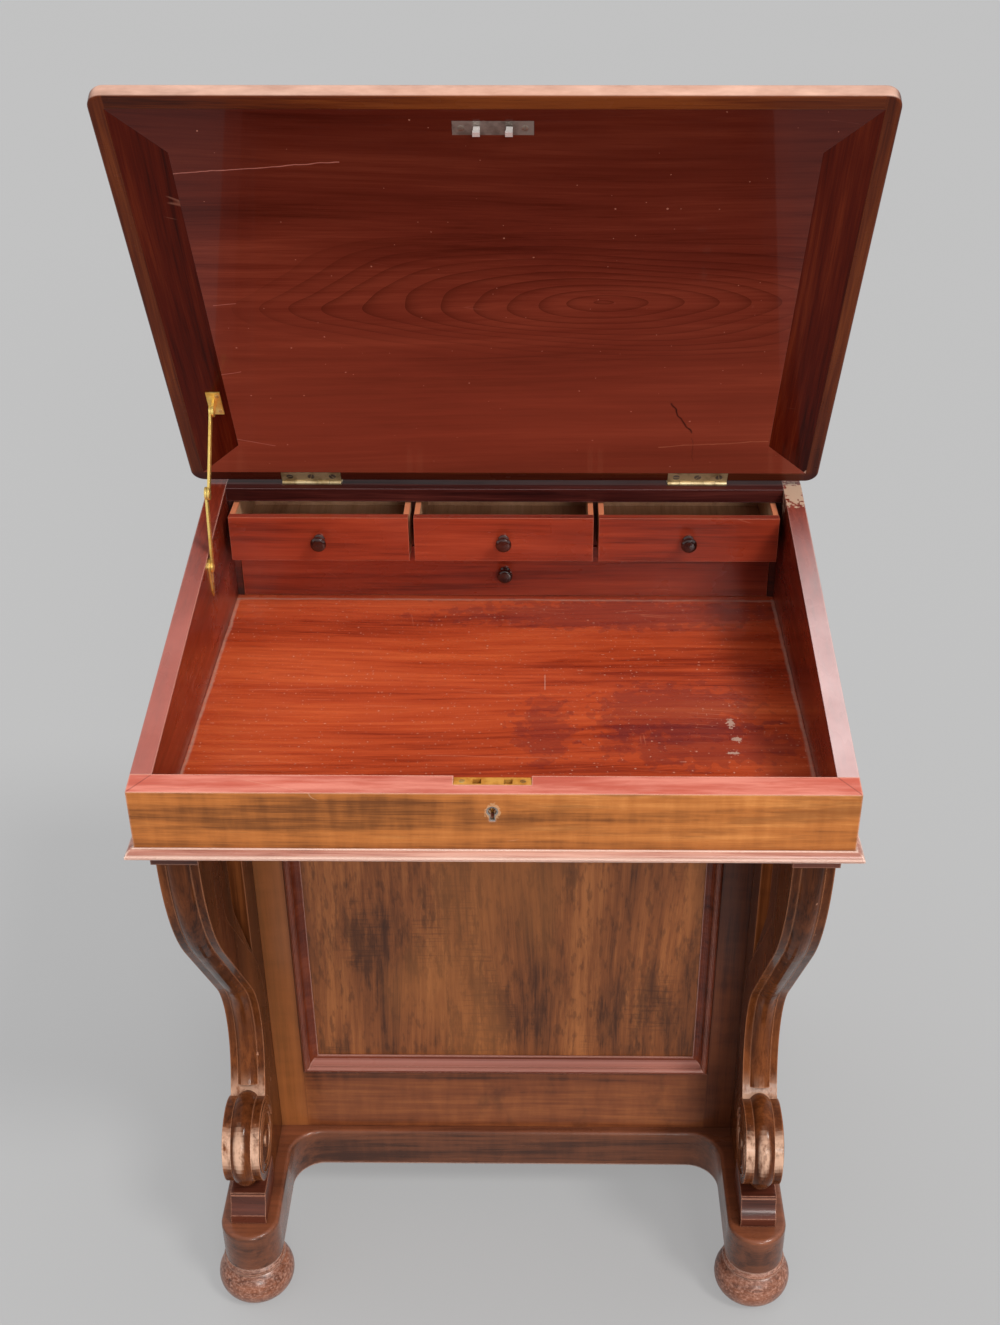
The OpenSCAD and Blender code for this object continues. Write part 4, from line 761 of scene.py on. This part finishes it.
for name, seed in (("left_side_board", 64), ("drawer_frame", 65), ("dummy_fronts", 66), ("back_frame", 67)):
    board = Finish(name, "y" if name == "dummy_fronts" else "z")
    board.wood((158, 98, 56), (124, 74, 42), (74, 40, 22), seed=seed, streaks=0.7, mottle=0.2)
    board.gloss(0.25, 0.42).wear_and_highlight((190, 130, 90), 0.5).dirt_and_shade((34, 16, 10), 0.6, reach=0.01)
    board.seal(name, coat=0.3, coat_rough=0.12)
SIDE_FRONT = 0.018
for number in range(1, 5):
    name = "side_drawer_%d" % number
    drawer = Finish(name, "x")
    drawer.wood((206, 158, 108), (182, 130, 82), (142, 94, 56), seed=70 + number, streaks=0.6)
    lining = drawer.colour
    drawer.wood((170, 106, 60), (134, 80, 44), (80, 44, 24), seed=70 + number, streaks=0.7, mottle=0.2,
                vector=turned_to(drawer.tree, "y", drawer.spot))
    x = parts_of(drawer.tree, drawer.spot)[0]
    front_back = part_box("side_drawer_%d" % number)[1].x - SIDE_FRONT
    in_front = rise(drawer.tree, x, front_back - 0.0002, front_back + 0.0002)
    drawer.colour = blend(drawer.tree, in_front, lining, drawer.colour)
    drawer.gloss(0.25, 0.4).wear_and_highlight((200, 138, 96), 0.55).dirt_and_shade((36, 18, 10), 0.4, reach=0.008)
    drawer.seal(name, coat=0.35, coat_rough=0.1)
plain = Finish("inner_pine", "y").wood((200, 150, 96), (172, 122, 74), (120, 80, 46), seed=76)
plain.gloss(0.5, 0.7).seal("drawer_runners", "pedestal_floor", relief=0.4)
backing = Finish("back_panel", "z").wood((150, 98, 60), (120, 74, 44), (80, 46, 26), seed=77)
backing.gloss(0.4, 0.6).seal("back_panel")

# %% Panel moulding, plinth, blocks and feet
trim = Finish("panel_moulding", "x").wood((132, 60, 32), (102, 40, 19), (60, 20, 9), seed=80, streaks=0.5)
# Painted highlight: the faces that look up and forward are laid pale, and so are the arrises.
trim.gloss(0.16, 0.28).lay(trim.facing((0, -0.3, 0.95), 0.4, 0.9), (206, 142, 128), 0.55)
trim.wear_and_highlight((226, 170, 150), 0.75, radius=0.0022, patchy=0.12).dirt_and_shade((34, 12, 8), 0.7, reach=0.004)
trim.seal("front_panel_moulding", coat=0.2, coat_rough=0.06, specular=0.2)

base = Finish("plinth", "x")
base.wood((140, 80, 50), (108, 60, 36), (64, 33, 19), seed=82, streaks=0.6, mottle=0.25)
# Painted light: the top, which looks up, is laid lighter, and the arrises get a painted highlight, pale and
# hardly broken.
base.lay(base.facing((0, 0, 1)), (160, 92, 66), 0.2)
base.gloss(0.2, 0.36).wear_and_highlight((250, 206, 186), 0.85, radius=0.003, patchy=0.12)
base.dirt_and_shade((40, 18, 11), 0.6, reach=0.010)
base.seal("plinth", coat=0.2, coat_rough=0.1, specular=0.35, ease=0.0015)
block = Finish("leg_blocks", "x").wood((118, 62, 44), (92, 44, 30), (58, 26, 17), seed=84, streaks=0.6)
block.gloss(0.2, 0.36).wear_and_highlight((206, 142, 112), 0.6, radius=0.002, patchy=0.45)
block.dirt_and_shade((36, 16, 10), 0.6, reach=0.008)
block.seal("leg_cap_blocks", "leg_step_blocks", coat=0.2, coat_rough=0.08, specular=0.35, ease=0.0012)

feet = Finish("bun_feet", "x").wood((150, 90, 62), (118, 66, 42), (74, 38, 24), seed=86, streaks=0.9)
feet.gloss(0.25, 0.45)
scuffs = feet.cloud((300, 300, 420), detail=5.0, rough=0.7)
feet.lay(rise(feet.tree, scuffs, 0.42, 0.74), (228, 176, 154), 0.5, dull=0.6)
feet.lay(rise(feet.tree, scuffs, 0.44, 0.30), (64, 30, 20), 0.3)
# Painted highlight: the arrises of the feet are laid pale, as well as worn.
feet.wear_and_highlight((236, 190, 168), 0.7, radius=0.003, patchy=0.3)
feet.seal("bun_feet", coat=0.15, coat_rough=0.2, relief=0.4)

# %% Legs
for name, seed in (("leg_left", 90), ("leg_right", 91)):
    leg = Finish(name, "z")
    leg.wood((124, 68, 34), (90, 46, 22), (52, 24, 11), seed=seed, bend=0.05, streaks=0.7, mottle=0.2)
    # The pale arris colour is wear and a painted highlight along the bead.
    leg.gloss(0.16, 0.3).wear_and_highlight((206, 138, 98), 0.55, radius=0.0022, patchy=0.35)
    leg.dirt_and_shade((28, 12, 8), 0.75, reach=0.010)
    chips = leg.cloud((110, 110, 110))
    leg.lay(rise(leg.tree, chips, 0.75, 0.78), (206, 150, 120), 0.6, dull=0.6)
    # The volute fronts are worn pale, and the same patch is a painted highlight, facing up and to the front
    # left.
    low_down = fall(leg.tree, parts_of(leg.tree, leg.spot)[2], 0.20, 0.24)
    wear_and_sheen = times(leg.tree, low_down, leg.facing((-0.1, -0.86, 0.48), 0.80, 0.97))
    patchy = rise(leg.tree, leg.cloud((120, 120, 22), detail=4.0, rough=0.7), 0.26, 0.56)
    leg.lay(times(leg.tree, wear_and_sheen, patchy), (230, 186, 158), 0.82, dull=0.4)
    leg.seal(name, coat=0.16, coat_rough=0.04, specular=0.05)

# %% [markdown]
# ## Brass and steel
# The stay is bright yellow brass, rubbed clean by use. The hinge leaves and the lock have dulled, with
# brown tarnish in the corners and round the screws.


# %% Metals
def metal(name, bright, dim, glossy, dull, direction="x"):
    made = Finish(name, direction)
    cloud = made.cloud((60, 60, 60), detail=4.0, rough=0.65)
    made.colour = blend(made.tree, rise(made.tree, cloud, 0.42, 0.66), colour(*bright), colour(*dim))
    brushed = made.streak((60, 1400, 1400), detail=1.0)
    made.height = times(made.tree, brushed, 0.25)
    made.gloss(glossy, dull).dirt_and_shade((58, 40, 24), 0.7, reach=0.003)
    return made


for name, bright, dim, glossy, dull, metallic, parts in (
        ("stay_brass", (255, 222, 128), (236, 186, 84), 0.25, 0.4, 0.7,
         ("stay_lower_arm", "stay_upper_arm", "stay_lid_bracket", "stay_wall_plate")),
        ("hinge_brass", (226, 204, 158), (176, 150, 106), 0.3, 0.45, 0.7,
         ("hinge_lid_leaves", "hinge_fixed_leaves")),
        ("lock_brass", (252, 186, 88), (220, 146, 58), 0.25, 0.4, 0.4, ("box_lock",)),
        ("worn_steel", (176, 166, 158), (110, 98, 90), 0.25, 0.42, 0.8,
         ("lock_bolt", "hinge_pins", "keyhole_liner"))):
    metal(name, bright, dim, glossy, dull).seal(*parts, metallic=metallic, ease=0.0003)
striker = metal("striker_steel", (138, 126, 118), (104, 92, 84), 0.3, 0.45, "lid")
# Painted highlight: the hooks that stand proud of the plate are laid almost white and glossy.
proud = rise(striker.tree, parts_of(striker.tree, striker.along)[2], 0.0004, 0.0012)
striker.lay(proud, (246, 240, 236), 0.9, dull=0.2)
striker.seal("lid_striker", metallic=0.5, ease=0.0003)

# %% [markdown]
# ## Screws and pins
# Countersunk screws hold the hinges, the lock and the stay. A head is a shallow disc with a slot sawn
# across it, so its mesh is a floor with two D-shaped halves standing on it, and its crown is a little
# domed. Each screw rides with the body that it is driven into. No two slots point the same way, because
# nobody lined them up.


# %% Screw and pin makers
def lathe_ring(shape, radius, depth, steps=28, cut=None):
    """A ring of points at a depth; with cut, the points between the two angles that it gives."""
    start, end = cut or (0.0, 2 * math.pi)
    count = steps if cut is None else steps + 1
    angles = [start + (end - start) * i / steps for i in range(count)]
    return [shape.verts.new((radius * math.cos(a), radius * math.sin(a), depth)) for a in angles]


def skin(shape, rings):
    """Joins rings of points into a closed skin."""
    for low, high in zip(rings, rings[1:]):
        for i in range(len(low)):
            j = (i + 1) % len(low)
            shape.faces.new((low[i], low[j], high[j], high[i]))
    shape.faces.new(list(reversed(rings[0])))
    shape.faces.new(rings[-1])


def place_piece(shape, name, spot, toward, turn, finish, body):
    """Turns a shape's +Z toward a direction at a spot, gives it its finish and ties it to a body."""
    aim = Vector(toward).to_track_quat("Z", "Y").to_matrix().to_4x4()
    shape.transform(Matrix.Translation(spot) @ aim @ Matrix.Rotation(turn, 4, "Z"))
    bmesh.ops.recalc_face_normals(shape, faces=shape.faces)
    mesh = bpy.data.meshes.new(name)
    shape.to_mesh(mesh)
    shape.free()
    mesh.materials.append(finish)
    piece = add_object(name, mesh)
    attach(piece, body)


HALF_SLOT = 0.13


def screw(name, spot, toward, turn, radius, finish, body):
    """A countersunk screw head, 0.25 mm proud, with a slot that is 0.13 of its width across."""
    shape = bmesh.new()
    skin(shape, [lathe_ring(shape, radius * 0.8, -0.0009), lathe_ring(shape, radius, -0.0004)])
    half_slot = math.asin(HALF_SLOT)
    for side in (0, math.pi):
        arc = (side + half_slot, side + math.pi - half_slot)
        rings_up = [lathe_ring(shape, r, h, 16, arc) for r, h in
                    ((radius, -0.0005), (radius, 0.0), (radius * 0.8, 0.0002), (radius * 0.5, 0.00025))]
        for ring in rings_up[2:]:
            for end in (ring[0], ring[-1]):
                end.co.y = math.copysign(radius * HALF_SLOT, end.co.y)
        skin(shape, rings_up)
    place_piece(shape, name, spot, toward, turn, finish, body)


def pin_head(name, spot, toward, radius, proud, finish, body):
    """The domed head of a pin or rivet."""
    shape = bmesh.new()
    profile = ((radius, -0.0004), (radius, proud * 0.4), (radius * 0.85, proud * 0.75),
               (radius * 0.5, proud))
    skin(shape, [lathe_ring(shape, r, h) for r, h in profile])
    place_piece(shape, name, spot, toward, 0.0, finish, body)


def on_lid(x, up, drop=0.0):
    """A point on the lid's underside: x across, up from the hinge, drop below the surface."""
    along, down = math.cos(LID_ANGLE), math.sin(LID_ANGLE)
    return Vector((x, HINGE_Y - up * along - drop * down, HINGE_Z + up * down - drop * along))


# %% Screws of the hinges, lock and stay
dark_screw = metal("screw_steel", (150, 138, 126), (84, 70, 60), 0.3, 0.45)
dark_screw = dark_screw.seal(metallic=0.8, ease=0.0002)
brass_screw = metal("screw_brass", (232, 196, 126), (170, 128, 72), 0.25, 0.4)
brass_screw = brass_screw.seal(metallic=0.7, ease=0.0002)
HINGE_SCREW, LOCK_SCREW, STRIKER_SCREW, STAY_SCREW = 0.0033, 0.0024, 0.0026, 0.0021
HINGE_X, SCREW_STEP, LEAF_MIDDLE = 0.182, 0.020, 0.00875
turn = 0.4
for side, middle in (("left", -HINGE_X), ("right", HINGE_X)):
    for number, step in enumerate((-SCREW_STEP, 0, SCREW_STEP), 1):
        screw("hinge_screw_%s_%d" % (side, number), on_lid(middle + step, LEAF_MIDDLE), LID_FACE, turn,
              HINGE_SCREW, dark_screw, "lid")
        turn += 0.9
LOCK_X, LOCK_SCREW_OUT, STRIKER_UP = -0.001, 0.0235, 0.4109
lock_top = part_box("box_lock")[1]
lock_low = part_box("box_lock")[0]
for number, side in enumerate((-1, 1), 1):
    x = LOCK_X + side * LOCK_SCREW_OUT
    screw("lock_screw_%d" % number, Vector((x, (lock_low.y + lock_top.y) / 2, lock_top.z)), (0, 0, 1), turn,
          LOCK_SCREW, brass_screw, "desk")
    screw("striker_screw_%d" % number, on_lid(x, STRIKER_UP), LID_FACE, turn + 0.7,
          STRIKER_SCREW, dark_screw, "lid")
    turn += 1.1
STAY_PLATE_EDGE, STAY_PLATE_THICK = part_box("stay_lid_bracket")[1].x, 0.0014
for number, up in enumerate((0.1025, 0.1215), 1):
    screw("stay_screw_%d" % number, on_lid(STAY_PLATE_EDGE - 0.003, up, STAY_PLATE_THICK), LID_FACE, turn,
          STAY_SCREW, brass_screw, "lid")
    turn += 1.3
ELBOW, WALL_SCREW = (0.035014, 0.786915), (0.026, 0.6985)
screw("stay_wall_screw", Vector((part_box("stay_lower_arm")[0].x - 0.0003, *WALL_SCREW)), (1, 0, 0), turn,
      STAY_SCREW, brass_screw, "desk")
pin_head("stay_elbow_pin", Vector((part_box("stay_upper_arm")[1].x, *ELBOW)), (1, 0, 0), 0.0027, 0.0008,
         brass_screw, "stay_upper")

# %% [markdown]
# ## Floor and light
# The desk stands on a plain pale floor in soft light. Two broad lamps shine, one from the right like a
# window and a weaker one from the front, and the sky around does the rest. The photograph's background
# is an even grey, so the sky shows that grey to the camera and to reflections, and lights the desk with
# its own colour. The floor shows the grey by half, so that the desk still stands in a shadow.


# %% Floor
def looked_at(tree):
    """1 for rays from the camera and for sharp reflections, 0 for the light that falls on things."""
    rays = put(tree, "LightPath", {}).outputs
    return calc(tree, "MAXIMUM", rays["Is Camera Ray"], rays["Is Glossy Ray"])


BACKGROUND, PAPER_SHARE = colour(193, 193, 193), 0.55
floor_mesh = bpy.data.meshes.new("floor")
floor_shape = bmesh.new()
bmesh.ops.create_grid(floor_shape, x_segments=1, y_segments=1, size=30)
floor_shape.to_mesh(floor_mesh)
floor_shape.free()
floor = add_object("floor", floor_mesh)
ground = bpy.data.materials.new("floor")
ground.use_nodes = True
tree = ground.node_tree
tree.nodes.clear()
spot = put(tree, "TexCoord", {}).outputs["Object"]
grey = blend(tree, noise(tree, spot, (0.7, 0.7, 0.7)), colour(172, 172, 172), colour(175, 175, 175))
plain_floor = put(tree, "BsdfPrincipled", {"Base Color": grey, "Roughness": 0.9, "Specular IOR Level": 0.0})
paper = put(tree, "Emission", {"Color": BACKGROUND})
shown = put(tree, "MixShader", {0: times(tree, looked_at(tree), PAPER_SHARE),
                                1: plain_floor.outputs[0], 2: paper.outputs[0]})
put(tree, "OutputMaterial", {0: shown.outputs[0]})
floor_mesh.materials.append(ground)

# %% Light
world = bpy.data.worlds.new("studio")
bpy.context.scene.world = world
world.use_nodes = True
tree = world.node_tree
tree.nodes.clear()
upward = parts_of(tree, put(tree, "TexCoord", {}).outputs["Generated"])[2]
sky = put(tree, "Background", {"Color": (0.98, 0.985, 1.0, 1), "Strength": span(tree, upward, 0.35, 1.1)})
backdrop = put(tree, "Background", {"Color": BACKGROUND})
both = put(tree, "MixShader", {0: looked_at(tree), 1: sky.outputs[0], 2: backdrop.outputs[0]})
put(tree, "OutputWorld", {0: both.outputs[0]})


def lamp(name, place, strength, soft, tint):
    """A far lamp that shines from the direction of a place; soft is how many degrees wide it looks."""
    data = bpy.data.lights.new(name, "SUN")
    data.energy, data.angle, data.color = strength, math.radians(soft), tint
    made = add_object(name, data)
    made.location = place
    made.rotation_mode = "QUATERNION"
    made.rotation_quaternion = Vector(place).to_track_quat("Z", "Y")


lamp("window", (1.7, -1.5, 2.6), 1.5, 14, (1.0, 0.985, 0.96))
lamp("front", (0.7, -2.6, 1.0), 0.9, 16, (1.0, 0.99, 0.97))

# %% Smooth the curved solids
SHARPEST_CURVE = math.radians(32)
for thing in solids.values():
    thing.data.polygons.foreach_set("use_smooth", [True] * len(thing.data.polygons))
    thing.data.set_sharp_from_angle(angle=SHARPEST_CURVE)

# %% Bring the scene up to date
bpy.context.view_layer.update()
